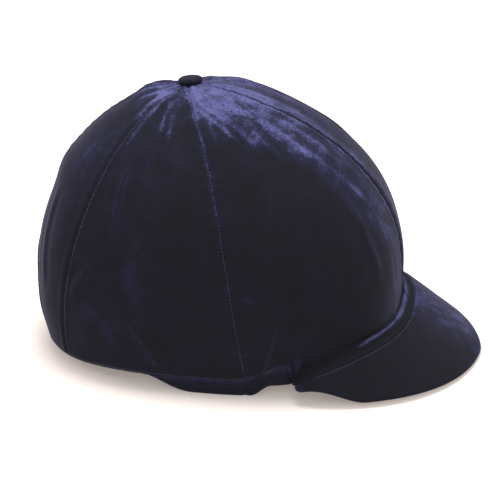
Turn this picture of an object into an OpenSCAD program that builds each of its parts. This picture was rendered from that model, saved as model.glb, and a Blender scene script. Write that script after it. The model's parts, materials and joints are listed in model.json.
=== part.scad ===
// Riding helmet: a moulded skull cap with its harness, under a removable velvet cover with a peak.
// Millimetres, +Z up. The peak points to -Y and the wearer's right is -X.
// The origin is under the middle of the whole length, on the surface that the helmet stands on.

/* [Head space] */
// Length of the space for the head, front to back, inside the padding
head_l = 198; // [188:1:208]
// Width of the space for the head, inside the padding
head_w = 156; // [146:1:166]
// Height of the space for the head above the widest line
head_h = 104.8; // [98:0.2:112]
// Depth over which the inside would close again below the widest line
head_d = 110; // [100:1:120]

/* [Layers] */
// Thickness of the comfort padding
padding_t = 7; // [4:0.5:8]
// Thickness of the foam liner that takes the impact
foam_t = 26.8; // [24:0.2:28]
// Wall of the moulded outer shell
shell_t = 2.4; // [2:0.1:3]
// Thickness of the velvet with its backing
velvet_t = 2; // [1.6:0.1:2.2]
// Space between the layers that are bonded or pressed together
layer_gap = 0.3; // [0.3:0.1:0.5]
// Space between the shell and the cover
cover_gap = 1.1; // [1.1:0.1:1.6]
// Space behind the pads, which the hook tape dots take up
pad_gap = 0.8; // [0.8:0.1:1]

/* [Outline] */
// Squareness of the plan, where 2 is an ellipse
plan_power = 2.5; // [2.2:0.05:2.7]
// How far the crown's top lies behind the middle of the head space
crown_back = 23; // [10:0.2:26]
// How steeply the crown falls from front to back at its button, in millimetres for each millimetre
crown_tilt = 0.085; // [0:0.005:0.1]
// Height of the widest line above the surface that the helmet stands on
waist_h = 55; // [53:1:62]
// Height of the lower edge under the forehead
brow_h = 16; // [14:0.5:20]
// Height of the lower edge at the temples, at the ends of the peak
temple_h = 12; // [11:0.5:14]
// Height of the lower edge at the nape
nape_h = 9.5; // [8:0.5:12]
// How much higher the lower edge stands behind the ears
side_rise = 1.8; // [0:0.1:2]
// Half the angle that the flat foot of an ear lobe takes up
lobe_flat = 6; // [5:0.5:9]
// Angle over which an ear lobe rises to the edge in front of it
lobe_rise = 8; // [7:0.5:12]
// Angle over which an ear lobe rises to the edge behind it
lobe_rise_back = 12; // [8:0.5:14]

/* [Cover] */
// Height of the hem's stitch line above the surface, at the ear lobes
hem_w = 11; // [10:0.5:12]
// How much higher the stitch line runs elsewhere
hem_lift = 19; // [13:0.5:20]
// Width of the hem that is turned under the shell
hem_under = 16; // [14:0.5:18]
// Diameter of the elastic in the hem
elastic_d = 2.6; // [2:0.1:3]
// Half the gap left between two panels along their seam
seam_gap = 0.2; // [0.1:0.05:0.3]
// Diameter of the covered button on the crown
button_d = 18.5; // [15:0.5:22]
// Height of the covered button
button_h = 5.5; // [4:0.5:7]

/* [Peak] */
// Length of the peak, from its root seam to the edge of its board
peak_reach = 51; // [40:0.1:54]
// How far the root seam stands out from the cover
root_out = 9.7; // [9.5:0.1:12]
// Height of the root seam above the surface, at the middle
root_h = 33; // [30:0.5:36]
// How much lower the root's ends are than its middle
root_drop = 19; // [17:0.5:21]
// Height of the board's outer edge, at mid thickness
edge_h = 3.2; // [2.6:0.1:5]
// How far the peak bows up between its root and its edge
peak_bow = 1; // [0:0.5:4]
// Thickness of the board that stiffens the peak
board_t = 2; // [1.6:0.1:2.2]
// Thickness of the velvet on the peak
cover_ply = 1; // [0.8:0.1:1.1]
// Height of the rolled welt along the root
welt_h = 9; // [7:0.5:10]

/* [Harness] */
// Width of the webbing
web_w = 15; // [12:0.5:16]
// Thickness of the webbing
web_t = 1.5; // [1.2:0.1:1.6]
// Diameter of the bars that the webbing hangs on
bar_d = 3; // [2.6:0.1:3.2]
// Distance from the middle of the head to the two hangers of one side
hanger_y = 30; // [29:0.5:32]
// How far the stowed straps lean in over the head space, in degrees
stow_lean = 20; // [19:0.5:21]
// Length of a strap from its hanger to the ear slider's middle
branch_l = 53; // [50:1:55]
// Length of the chin strap between the ear slider and the buckle tongue
chin_l = 52; // [50:1:54]
// Length of the strap between the other ear slider and the buckle socket
buckle_strap_l = 32; // [28:1:36]
// Width of the chin strap
chin_w = 18; // [15:0.5:19]
// Diameter of the harness rivets
rivet_d = 4.5; // [4:0.1:5]

/* [Hidden] */
$fn = 32;

// Depths of the layers, measured inwards from the outside of the velvet.
shell_out = velvet_t + cover_gap;
shell_in = shell_out + shell_t;
foam_out = shell_in + layer_gap;
foam_in = foam_out + foam_t;
pad_out = foam_in + pad_gap;
pad_in = pad_out + padding_t;

// Half axes of the outside of the velvet.
half_l = head_l / 2 + pad_in;
half_w = head_w / 2 + pad_in;
crown = head_h + pad_in;
bowl = head_d + pad_in;

// Shape of the crown: the power of its arch, and how fast the crown's set-back fades.
arch_power = 2.01;
setback_power = 2.2;

// The angle at the head's middle runs from the brow, 0, over the right ear, 90, to the nape, 180.
lobe_at = 83;
side_at = 106;
side_span = 28;
temple_at = 60;
peak_end = 62;

// Seams of the six panels: their angles at the crown, at the waist and at the hem.
// The worn cover's front seam has slipped a little to the wearer's right at the crown.
front_seam_crown = 22;
front_seam_fade = 38;
ear_seam_crown = 92.3;
ear_seam_waist = 82.3;
ear_seam_hem = 77.3;
ear_seam_bend = 60;
back_seam_crown = 112;
back_seam_hem = 133;
crown_hole = 1.6;

// Grid of the moulded layers, and of the panels.
ring_shares = [0.1, 0.2, 0.3, 0.4, 0.5, 0.6, 0.7, 0.8, 0.88, 0.95, 1];
panel_cols = 14;
panel_rows = 12;

// The rubber edge around the shell, stacked up from the foot of the hem.
bead_leg_t = 0.65;
bead_web_t = 1.1;
bead_leg_h = 6;
bead_fit = 0.2;
hem_clear = 0.4;
dip_front = 1.5;
dip_front_w = 22;
dip_back = 3.5;
dip_back_w = 16;
elastic_fit = 0.25;
bead_foot = velvet_t + hem_clear;
shell_foot = bead_foot + bead_web_t + bead_fit;
foam_foot = shell_foot + bead_leg_h + 0.6;
pad_foot = foam_foot + 1;
foam_bevel = 7;

// Padding, hook tape, panels and button.
pad_soft = 2;
crown_pad_span = 36;
hook_d = 6;
hook_t = 0.2;
panel_fit = 0.8;
dome_r = 16;
shank_d = 3.2;
shank_h = 3.3;

// The peak's parts, from the board outwards.
ply_fit = 0.15;
lining_t = 0.9;
edge_turn = 6;
peak_n = 24;
corner_start = 44.5;
corner_past = 4;
edge_arch = 0.1;
root_power_front = 3.85;
reach_power = 1.12;
root_tuck = 5;
board_top = board_t / 2;
cover_low = board_top + ply_fit;
cover_high = cover_low + cover_ply;
welt_fit = 0.3;
welt_rise = 1.2;

// The hangers: a plate on the shell, a web through the foam and two ears that hold a bar.
bar_fit = 0.2;
loop_r = bar_d / 2 + bar_fit + web_t;
bar_x = half_w - foam_in - 9;
bar_nape_y = half_l - foam_in - 14;
nape_x = 24;
bar_h = 16;
ear_gap = web_w + 1;
ear_t = 3;
ear_r = 3;
hanger_w = ear_gap + 2 * ear_t;
web_low = 23;
web_high = 25.5;
plate_t = 2.5;
plate_top = 39;
plate_fit = 0.4;
pocket_fit = 0.5;
rivet_h = 32;
rivet_fit = 0.15;
rivet_head_d = 8.5;
rivet_head_t = 1;
rivet_tail_d = 7;
washer_d = 10;
washer_t = 1.2;
washer_fit = 0.7;
pocket_depth = 10;

// The webbing. Its face is on the head's side of the bar, and it leans in with the stowed harness.
strap_face = -(bar_d / 2 + bar_fit);
strap_mid = strap_face - web_t / 2;
fold_h = 9;
stitch_h = 14;
bend_h = 12;
slot_fit = 0.25;
slot_depth = 5;
slider_w = 38;
slider_l = 18;
slider_t = 6;
slider_low = branch_l - slider_l / 2;
slider_high = branch_l + slider_l / 2;
entry_y = 9;
tongue_bar_d = 2.4;
tongue_bar_z = slider_high + chin_l + 2;
pad_l = 28;
pad_w = 27;
pad_t = 7;
pad_z = slider_high + 2;
keeper_l = 5;
keeper_t = 1.5;
free_end = pad_z + pad_l + 5;
keeper_z = free_end + 3;
tongue_w = 24;
tongue_t = 3.2;
tongue_l = 20;
prong_w = 19;
socket_bar_z = slider_high + buckle_strap_l;
socket_w = 26;
socket_t = 7;
socket_l = 28;
nape_strap_l = 26;
nape_pad_w = 84;
nape_pad_l = 30;
nape_pad_t = 6;

// The middle of the whole length, from the peak's tip to the nape.
tip = half_l + root_out + peak_reach + cover_high;
shift_y = (tip - half_l) / 2;

velvet = [0.06, 0.06, 0.16];
velvet_light = [0.10, 0.10, 0.26];
black = [0.07, 0.07, 0.08];
grey = [0.3, 0.3, 0.32];
steel = [0.7, 0.7, 0.72];
foam_white = [0.92, 0.92, 0.9];
padding_black = [0.12, 0.12, 0.14];

// ---------- curves ----------

function smooth(t) = let (u = max(0, min(1, t))) u * u * (3 - 2 * u);
function mix(a, b, t) = a + (b - a) * t;
function root_power(v, p) = sign(v) * pow(abs(v), p);

// The plan at the waist, for half axes l and w.
function plan(a, l, w) = let (p = 2 / plan_power) [-root_power(sin(a), p) * w, -root_power(cos(a), p) * l];

// A point of the dome: a goes round the head, b from the crown's top, 0, past the waist, 90.
function dome(a, b, off) =
    let (
        up = b <= 90,
        p = 2 / arch_power,
        reach = up ? pow(sin(b), p) : sin(b),
        rise = up ? (crown - off) * pow(max(0, cos(b)), p) : (bowl - off) * cos(b),
        back = up ? crown_back * pow(max(0, cos(b)), setback_power) : 0,
        tilt = up ? crown_tilt * plan(a, half_l, half_w)[1] * reach * max(0, cos(b)) : 0,
        flat = plan(a, half_l - off, half_w - off)
    )
    [flat[0] * reach, flat[1] * reach + back, waist_h + rise - tilt];

// The angle from the crown at which the dome is at height z. Above the waist that leaves out its tilt.
function dome_angle(z, off) =
    z < waist_h
        ? 90 + asin((waist_h - z) / (bowl - off))
        : acos(pow((z - waist_h) / (crown - off), arch_power / 2));

// Height of the helmet's lower edge around the head.
function fold(a) = let (m = abs(a) % 360) m > 180 ? 360 - m : m;
function edge_line(a) =
    let (
        m = fold(a),
        base = m < temple_at ? mix(brow_h, temple_h, smooth(m / temple_at))
                             : mix(temple_h, nape_h, smooth((m - temple_at) / (180 - temple_at))),
        behind = side_rise * (1 - smooth(abs(m - side_at) / side_span)),
        rise = m < lobe_at ? lobe_rise : lobe_rise_back,
        lobe = 1 - smooth((abs(m - lobe_at) - lobe_flat) / rise)
    )
    (base + behind) * (1 - lobe);

// Height of the stitch line round the hem, which dips over the lobes, more steeply behind them.
function hem_line(a) =
    let (past = fold(a) - lobe_at)
    hem_w + hem_lift * smooth(past < 0 ? (-past - dip_front) / dip_front_w : (past - dip_back) / dip_back_w);

function front_seam(b) = front_seam_crown * exp(-pow(b / front_seam_fade, 2));
function ear_seam(b) =
    ear_seam_waist + (ear_seam_crown - ear_seam_waist) * exp(-b / 10)
    - (ear_seam_waist - ear_seam_hem) * pow(max(0, b - ear_seam_bend) / (105 - ear_seam_bend), 2);
function back_seam(b) = mix(back_seam_crown, back_seam_hem, b / 105);

// Root and edge of the peak, and its middle surface from the root, 0, to the edge, 1.
function root_line(a) = root_h - root_drop * pow(abs(a) / peak_end, root_power_front);
function root_at(a) =
    let (out = root_out - root_tuck * pow(abs(a) / peak_end, 4)) plan(a, half_l + out, half_w + out);
function peak_width(a) = peak_reach * (1 - pow(abs(a) / (peak_end + corner_past), reach_power));
// The board's edge is lowest at its tip. It arches up to the sides, and runs up to the root at its ends.
function peak_edge_line(a) =
    let (
        side = edge_arch * smooth(abs(a) / corner_start),
        end = (1 - edge_arch) * smooth((abs(a) - corner_start) / (peak_end + 3 - corner_start))
    )
    mix(edge_h, root_line(a) - 1, side + end);
function peak_mid(a, t) =
    let (root = root_at(a), out = root / norm(root), w = peak_width(a) * t)
    [
        root[0] + out[0] * w,
        root[1] + out[1] * w,
        mix(root_line(a), peak_edge_line(a), t)
            + peak_bow * sin(180 * max(0, min(1, t))) * peak_width(a) / peak_reach
    ];

// A point of the peak: off is its distance above the middle surface, past a distance beyond t.
function peak_point(a, t, off, past = 0) =
    let (
        d = 0.01,
        along = peak_mid(a, t + d) - peak_mid(a, t - d),
        across = peak_mid(a - 0.5, t) - peak_mid(a + 0.5, t),
        n = cross(along, across),
        up = n / norm(n)
    )
    peak_mid(a, t) + off * up + past * along / norm(along);

// ---------- solids from grids of points ----------

function flatten(rows) = [for (r = rows) for (p = r) p];
// Each patch is split along its shorter diagonal, so that layers that nest have the same folds.
function quad(points, a, b, c, d) =
    norm(points[a] - points[c]) <= norm(points[b] - points[d]) ? [[a, b, c], [a, c, d]] : [[b, c, d], [b, d, a]];

// A thick sheet between two grids with as many rows and columns.
module sheet(outer, inner) {
    m = len(outer);
    n = len(outer[0]);
    k = m * n;
    points = concat(flatten(outer), flatten(inner));
    faces = [
        for (i = [0:m - 2]) for (j = [0:n - 2]) let (p = i * n + j)
            for (f = concat(quad(points, p, p + n, p + n + 1, p + 1),
                            quad(points, k + p, k + p + 1, k + p + n + 1, k + p + n))) f,
        for (j = [0:n - 2]) let (e = (m - 1) * n + j)
            for (f = concat(quad(points, j, j + 1, k + j + 1, k + j),
                            quad(points, e + 1, e, k + e, k + e + 1))) f,
        for (i = [0:m - 2]) let (p = i * n, q = i * n + n - 1)
            for (f = concat(quad(points, p + n, p, k + p, k + p + n),
                            quad(points, q, q + n, k + q + n, k + q))) f
    ];
    polyhedron(points, faces);
}

// A closed skin of rings that starts and ends in a pole.
module capped_rings(rings, first_pole, last_pole) {
    m = len(rings);
    n = len(rings[0]);
    a = m * n;
    points = concat(flatten(rings), [first_pole, last_pole]);
    faces = [
        for (i = [0:m - 2]) for (j = [0:n - 1]) let (p = i * n + j, q = i * n + (j + 1) % n)
            for (f = quad(points, p, p + n, q + n, q)) f,
        for (j = [0:n - 1]) [a, j, (j + 1) % n],
        for (j = [0:n - 1]) [(m - 1) * n + j, a + 1, (m - 1) * n + (j + 1) % n]
    ];
    polyhedron(points, faces);
}

// A closed ring with a closed section.
module ring_sweep(rings) {
    m = len(rings);
    n = len(rings[0]);
    points = flatten(rings);
    faces = [
        for (i = [0:m - 1]) for (j = [0:n - 1])
            let (i2 = (i + 1) % m, j2 = (j + 1) % n)
            for (f = quad(points, i * n + j, i2 * n + j, i2 * n + j2, i * n + j2)) f
    ];
    polyhedron(points, faces);
}

// A bar with a closed section, along a list of sections, closed at both ends.
module bar_sweep(sections) {
    m = len(sections);
    n = len(sections[0]);
    a = m * n;
    middle = function (s) [for (k = [0:2]) [for (p = s) p[k]] * [for (p = s) 1] / n];
    points = concat(flatten(sections), [middle(sections[0]), middle(sections[m - 1])]);
    faces = [
        for (i = [0:m - 2]) for (j = [0:n - 1]) let (p = i * n + j, q = i * n + (j + 1) % n)
            for (f = quad(points, p, p + n, q + n, q)) f,
        for (j = [0:n - 1]) [a, j, (j + 1) % n],
        for (j = [0:n - 1]) [a + 1, (m - 1) * n + (j + 1) % n, (m - 1) * n + j]
    ];
    polyhedron(points, faces);
}

// ---------- moulded layers ----------

// Angles round the head, with more of them where a lobe rises.
lobe_steps = [0, 0.25, 0.5, 0.75, 1];
lobe_from = lobe_at - lobe_flat;
lobe_to = lobe_at + lobe_flat;
half_ring = concat(
    [for (j = [1:8]) j * (lobe_from - lobe_rise) / 9],
    [for (t = lobe_steps) lobe_from - lobe_rise * (1 - t)],
    [for (t = [-0.5, 0, 0.5]) lobe_at + lobe_flat * t],
    [for (t = lobe_steps) lobe_to + lobe_rise_back * t],
    [for (j = [1:9]) mix(lobe_to + lobe_rise_back, 180, j / 10)]
);
ring_angles = concat([0], half_ring, [180], [for (i = [len(half_ring) - 1:-1:0]) 360 - half_ring[i]]);

// The angle at a share of the way from the crown to the shell's foot, the same for every layer.
function row_angle(a, share) = share * dome_angle(edge_line(a) + shell_foot, 0);
function dome_row(share, off) = [for (a = ring_angles) dome(a, row_angle(a, share), off)];
function foot_row(off, foot) = [for (a = ring_angles) dome(a, dome_angle(edge_line(a) + foot, off), off)];

// A layer of the dome between two depths. A layer that stops short has its foot above the shares left out.
module dome_layer(out, in, foot, in_foot, skip = 0) {
    last = len(ring_shares) - 2 - skip;
    outer = [for (i = [0:last]) dome_row(ring_shares[i], out)];
    inner = [for (i = [last:-1:0]) dome_row(ring_shares[i], in)];
    rings = concat(outer, [foot_row(out, foot), foot_row(in, in_foot)], inner);
    capped_rings(rings, dome(0, 0, out), dome(0, 0, in));
}

module outer_shell() {
    color(black) translate([0, shift_y, 0]) difference() {
        dome_layer(shell_out, shell_in, shell_foot, shell_foot);
        hanger_places() rivet_frame() {
            translate([0, 0, -1]) cylinder(d = rivet_d + 2 * rivet_fit, h = shell_t + 3);
            translate([0, 0, -1]) cylinder(d = rivet_head_d + 2 * rivet_fit, h = rivet_head_t + rivet_fit + 1);
        }
    }
}

module rim_beading() {
    out = shell_out - bead_fit - bead_leg_t;
    in = shell_in + bead_fit + bead_leg_t;
    top = shell_foot + bead_leg_h;
    // Each corner is [depth, height above the lower edge], down the outside and up the inside.
    section = [
        [out, top], [out, bead_foot + 0.6], [out + 0.5, bead_foot], [in - 0.5, bead_foot],
        [in, bead_foot + 0.6], [in, top], [in - bead_leg_t, top],
        [in - bead_leg_t, shell_foot - bead_fit], [out + bead_leg_t, shell_foot - bead_fit],
        [out + bead_leg_t, top]
    ];
    color(grey) translate([0, shift_y, 0]) ring_sweep([
        for (c = section) [for (a = ring_angles) dome(a, dome_angle(edge_line(a) + c[1], c[0]), c[0])]
    ]);
}

module impact_liner() {
    color(foam_white) translate([0, shift_y, 0]) difference() {
        dome_layer(foam_out, foam_in, foam_foot, foam_foot + foam_bevel, 1);
        hanger_places() {
            // A notch for the web and the ears, open below, and a pocket for the plate and the rivet.
            low_box(-ear_r - 3, $wall + 3, hanger_w + 2 * pocket_fit, 0, web_high + pocket_fit);
            low_box($wall - pocket_depth, $wall + 3, hanger_w + 2 * pocket_fit, 0, plate_top + 1);
        }
        // A shallow seat for each dot of hook tape.
        hook_dots(hook_d + 1, hook_t + 0.8);
    }
}

// A box between two distances outwards and two heights, in the middle of a hanger.
module low_box(from, to, width, low, high) {
    translate([from, -width / 2, low]) cube([to - from, width, high - low]);
}

// ---------- comfort padding ----------

// A pad on the foam between two angles round the head, from a high angle down to a foot.
module wall_pad(from, to, cols, high, foot, rows) {
    point = function (i, j, off)
        let (a = mix(from, to, j / cols))
        dome(a, mix(high, dome_angle(edge_line(a) + foot, pad_in), i / rows), off);
    rim = function (i, j) i == 0 || j == 0 || i == rows || j == cols;
    back = [for (i = [0:rows]) [for (j = [0:cols]) point(i, j, pad_out)]];
    face = [for (i = [0:rows]) [for (j = [0:cols]) point(i, j, rim(i, j) ? pad_in - pad_soft : pad_in)]];
    sheet(back, face);
}

module forehead_pad() {
    color(padding_black) translate([0, shift_y, 0]) wall_pad(-60, 60, 16, 66, pad_foot, 5);
}

module nape_lining_pad() {
    color(padding_black) translate([0, shift_y, 0]) difference() {
        wall_pad(120, 240, 16, 66, pad_foot, 5);
        hanger_places() low_box(-ear_r - 3, $wall, hanger_w + 2 * pocket_fit, 0, web_high + 1);
    }
}

module temple_pads() {
    color(padding_black) translate([0, shift_y, 0]) for (side = [0, 1]) mirror([side, 0, 0])
        wall_pad(82.5, 97.5, 2, 66, pad_foot + 17, 4);
}

module crown_pad() {
    rows = 4;
    shares = [for (i = [1:rows]) crown_pad_span * i / rows];
    ring = function (b, off) [for (a = ring_angles) dome(a, b, off)];
    outer = [for (b = shares) ring(b, pad_out)];
    inner = [for (i = [rows - 1:-1:0]) ring(shares[i] - (i == rows - 1 ? 1.5 : 0), pad_in)];
    color(padding_black) translate([0, shift_y, 0]) difference() {
        capped_rings(concat(outer, inner), dome(0, 0, pad_out), dome(0, 0, pad_in));
        // Six vents, one between each pair of spokes.
        for (k = [0:5]) translate([0, crown_back, waist_h]) rotate([0, 0, 30 + 60 * k])
            translate([24, 0, 0]) hull() for (x = [0, 14]) translate([x, 0, 0])
                cylinder(d = 10, h = crown, $fn = 16);
    }
}

// Dots of hook tape between the foam and the pads.
module pad_hook_tapes() {
    color(grey) translate([0, shift_y, 0]) hook_dots(hook_d, hook_t);
}

module hook_dots(d, h) {
    for (a = [-41, -19, 19, 41, 139, 161, 199, 221], b = [76, 88]) hook_dot(a, b, d, h);
    for (a = [90, 270]) hook_dot(a, 76, d, h);
    for (a = [0:60:300]) hook_dot(a, 30, d, h);
}

module hook_dot(a, b, d, h) {
    p = dome(a, b, foam_in + 0.5 * pad_gap);
    n = wall_normal(a, b, foam_in);
    translate(p) rotate([0, 0, atan2(n[1], n[0])]) rotate([0, 90 - asin(n[2]), 0])
        cylinder(d = d, h = h, center = true, $fn = 12);
}

function wall_normal(a, b, off) =
    let (
        n = cross(dome(a - 0.5, b, off) - dome(a + 0.5, b, off), dome(a, b + 0.5, off) - dome(a, b - 0.5, off))
    )
    n / norm(n);

// ---------- hangers ----------

// Distance out to the wall at a height, beside the head and behind it.
function wall_x(y, z, off) =
    let (l = half_l - off, w = half_w - off, s = sin(dome_angle(z, off)))
    w * s * pow(1 - pow(abs(y) / (l * s), plan_power), 1 / plan_power);
function wall_y(x, z, off) =
    let (l = half_l - off, w = half_w - off, s = sin(dome_angle(z, off)))
    l * s * pow(1 - pow(abs(x) / (w * s), plan_power), 1 / plan_power);

// The outward direction of the shell at a rivet, seen from a hanger, where x points outwards.
side_turn = (wall_x(hanger_y + 1, rivet_h, shell_out) - wall_x(hanger_y - 1, rivet_h, shell_out)) / 2;
side_lean = (wall_x(hanger_y, rivet_h + 1, shell_out) - wall_x(hanger_y, rivet_h - 1, shell_out)) / 2;
nape_turn = (wall_y(nape_x + 1, rivet_h, shell_out) - wall_y(nape_x - 1, rivet_h, shell_out)) / 2;
nape_lean = (wall_y(nape_x, rivet_h + 1, shell_out) - wall_y(nape_x, rivet_h - 1, shell_out)) / 2;

// The six hangers. Their children get the distance out to the shell, and the shell's direction.
module hanger_places() {
    for (side = [0, 1]) mirror([side, 0, 0]) {
        for (dir = [-1, 1]) translate([bar_x, dir * hanger_y, 0])
            at_wall(wall_x(hanger_y, rivet_h, shell_out) - bar_x, [1, -dir * side_turn, -side_lean]) children();
        translate([nape_x, bar_nape_y, 0]) rotate([0, 0, 90])
            at_wall(wall_y(nape_x, rivet_h, shell_out) - bar_nape_y, [1, nape_turn, -nape_lean]) children();
    }
}

module at_wall(distance, direction) {
    $wall = distance;
    $out = direction / norm(direction);
    children();
}

// A rivet's own frame: z runs into the wall from the shell's outside.
module rivet_frame() {
    translate([$wall, 0, rivet_h]) rotate([0, -asin($out[2]), atan2($out[1], $out[0])])
        rotate([0, -90, 0]) children();
}

plate_deep = shell_t + plate_fit;
washer_deep = plate_deep + plate_t + washer_fit;

module harness_rivets() {
    color(steel) translate([0, shift_y, 0]) hanger_places() rivet_frame() {
        tail = washer_deep + washer_t + rivet_fit;
        translate([0, 0, 0.1]) cylinder(d = rivet_head_d, h = rivet_head_t - 0.1);
        translate([0, 0, 0.5]) cylinder(d = rivet_d, h = tail + 0.5);
        translate([0, 0, tail]) cylinder(d = rivet_tail_d, h = 1);
    }
}

module rivet_washers() {
    color(steel) translate([0, shift_y, 0]) hanger_places() rivet_frame() translate([0, 0, washer_deep])
        difference() {
            cylinder(d = washer_d, h = washer_t);
            translate([0, 0, -1]) cylinder(d = rivet_d + 2 * rivet_fit, h = washer_t + 2);
        }
}

// A ring inside the shell, from which the hangers' plates are cut, so that they follow its wall.
plate_shares = [0.7, 0.8, 0.88, 0.95, 1];
module plate_ring() {
    out = shell_in + plate_fit;
    in = out + plate_t;
    ring_sweep(concat(
        [for (t = plate_shares) dome_row(t, out)],
        [for (i = [len(plate_shares) - 1:-1:0]) dome_row(plate_shares[i], in)]
    ));
}

// All that lies inside a depth at the hangers' height, to trim their webs.
module inside_form(off) {
    capped_rings([for (t = plate_shares) dome_row(t, off)], [0, 0, waist_h + bar_x / 2], [0, 0, 0]);
}

module strap_hangers() {
    color(grey) translate([0, shift_y, 0]) difference() {
        union() {
            intersection() {
                plate_ring();
                hanger_places() low_box($wall - 20, $wall + 5, hanger_w, web_low, plate_top);
            }
            // The web ends inside the plate.
            intersection() {
                inside_form(shell_in + plate_fit + plate_t / 4);
                hanger_places() low_box(-1, $wall, hanger_w, web_low, web_high);
            }
            hanger_places() {
                for (y = [-1, 1]) translate([0, y * (ear_gap + ear_t) / 2, 0]) hanger_ear();
                translate([0, 0, bar_h]) rotate([90, 0, 0]) cylinder(d = bar_d, h = ear_gap + 2, center = true);
            }
        }
        hanger_places() rivet_frame() cylinder(d = rivet_d + 2 * rivet_fit, h = 14);
    }
}

module hanger_ear() {
    rotate([90, 0, 0]) linear_extrude(ear_t, center = true) {
        translate([0, bar_h]) circle(r = ear_r);
        polygon([[-ear_r, bar_h], [ear_r, bar_h], [12, web_low + 0.5], [12, web_high], [-1, web_high], [-1, web_low]]);
    }
}

// ---------- harness ----------

// The stowed harness of one side, left or right. Inside, z runs up along the leaning strap.
module harness_side(side) {
    mirror([side, 0, 0]) translate([bar_x, shift_y, bar_h]) rotate([0, -stow_lean, 0]) children();
}

// The outline of webbing sewn round a bar, seen along the bar, without its hole.
module loop_outline(inner_r, fold, stitch) {
    face = -inner_r;
    difference() {
        union() {
            circle(r = inner_r + web_t);
            polygon([
                [face - web_t, 0], [-face + web_t, 0], [face + web_t, fold], [face + web_t, stitch],
                [face - web_t, stitch]
            ]);
        }
        polygon([[face, 0], [-face, 0], [face, fold - 2]]);
    }
}

// Webbing of some width round a bar of some radius, with a true hole for it.
module web_loop(inner_r, fold, stitch, width) {
    difference() {
        rotate([90, 0, 0]) linear_extrude(width, center = true) loop_outline(inner_r, fold, stitch);
        rotate([90, 0, 0]) cylinder(r = inner_r, h = width + 2, center = true);
    }
}

// A flat strap on the webbing's own plane, as an outline in y and z, with room round it for a slot.
module flat_strap(points, room = 0) {
    translate([strap_mid - web_t / 2 - room, 0, 0]) rotate([90, 0, 90])
        linear_extrude(web_t + 2 * room) polygon(points);
}

function branch_outline(dir, room = 0) =
    let (h = web_w / 2 + room, top = slider_low + slot_depth + room)
    [
        [dir * hanger_y - h, bend_h], [dir * hanger_y + h, bend_h],
        [dir * entry_y + h, slider_low - 1], [dir * entry_y + h, top],
        [dir * entry_y - h, top], [dir * entry_y - h, slider_low - 1]
    ];
function band(low, high, width) =
    [[-width / 2, low], [width / 2, low], [width / 2, high], [-width / 2, high]];

module branch(dir) {
    color(black) {
        translate([0, dir * hanger_y, 0]) web_loop(bar_d / 2 + bar_fit, fold_h, stitch_h, web_w);
        flat_strap(branch_outline(dir));
    }
}

module front_strap_left() { harness_side(0) branch(-1); }
module rear_strap_left() { harness_side(0) branch(1); }
module front_strap_right() { harness_side(1) branch(-1); }
module rear_strap_right() { harness_side(1) branch(1); }

// A moulded slider that joins the two branches and lets out the chin strap.
module ear_slider() {
    r = 4;
    color(grey) difference() {
        translate([strap_mid - slider_t / 2, 0, 0]) rotate([90, 0, 90]) linear_extrude(slider_t)
            hull() {
                for (y = [-1, 1]) translate([y * (slider_w / 2 - r), slider_low + r]) circle(r = r, $fn = 24);
                for (y = [-1, 1]) translate([y * (chin_w / 2 + 2.5 - r), slider_high - r]) circle(r = r, $fn = 24);
            }
        for (dir = [-1, 1]) flat_strap(branch_outline(dir, slot_fit), slot_fit);
        flat_strap(band(slider_high - slot_depth - slot_fit, slider_high + 1, chin_w + 2 * slot_fit), slot_fit);
        // Finger grips on both faces.
        for (x = [-1, 1], z = [-1.5, 1.5]) translate([strap_mid + x * slider_t / 2, 0, branch_l + z])
            rotate([90, 0, 0]) cylinder(d = 1.2, h = 16, center = true);
    }
}

module ear_slider_left() { harness_side(0) ear_slider(); }
module ear_slider_right() { harness_side(1) ear_slider(); }

// The chin strap runs up from the slider, round the tongue's bar and back down to its free end.
module chin_strap() {
    inner_r = tongue_bar_d / 2 + bar_fit;
    fold = 8;
    color(black) harness_side(0) {
        flat_strap(band(slider_high - slot_depth, tongue_bar_z - fold, chin_w));
        translate([strap_face + inner_r, 0, tongue_bar_z]) mirror([0, 0, 1])
            web_loop(inner_r, fold, tongue_bar_z - free_end, chin_w);
    }
}

module chin_pad() {
    color(padding_black) harness_side(0) difference() {
        translate([strap_mid, 0, pad_z]) soft_block(pad_l, pad_w, pad_t);
        flat_strap(band(pad_z - 1, pad_z + pad_l + 1, chin_w + 4 * slot_fit), 2 * slot_fit);
    }
}

// A cushion seen as a rounded block: z from 0, with its middle on the z axis.
module soft_block(l, w, t) {
    r = 5;
    rotate([90, 0, 90]) translate([0, 0, -t / 2]) linear_extrude(t)
        hull() for (y = [-1, 1], z = [r, l - r]) translate([y * (w / 2 - r), z]) circle(r = r, $fn = 24);
}

module strap_keeper() {
    // It holds both runs of the strap.
    mid = strap_face;
    hole_t = 2 * web_t + 2 * slot_fit;
    hole_w = chin_w + 2 * slot_fit;
    color(black) harness_side(0) translate([mid, 0, keeper_z + keeper_l / 2]) difference() {
        cube([hole_t + 2 * keeper_t, hole_w + 2 * keeper_t, keeper_l], center = true);
        cube([hole_t, hole_w, keeper_l + 2], center = true);
    }
}

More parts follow.
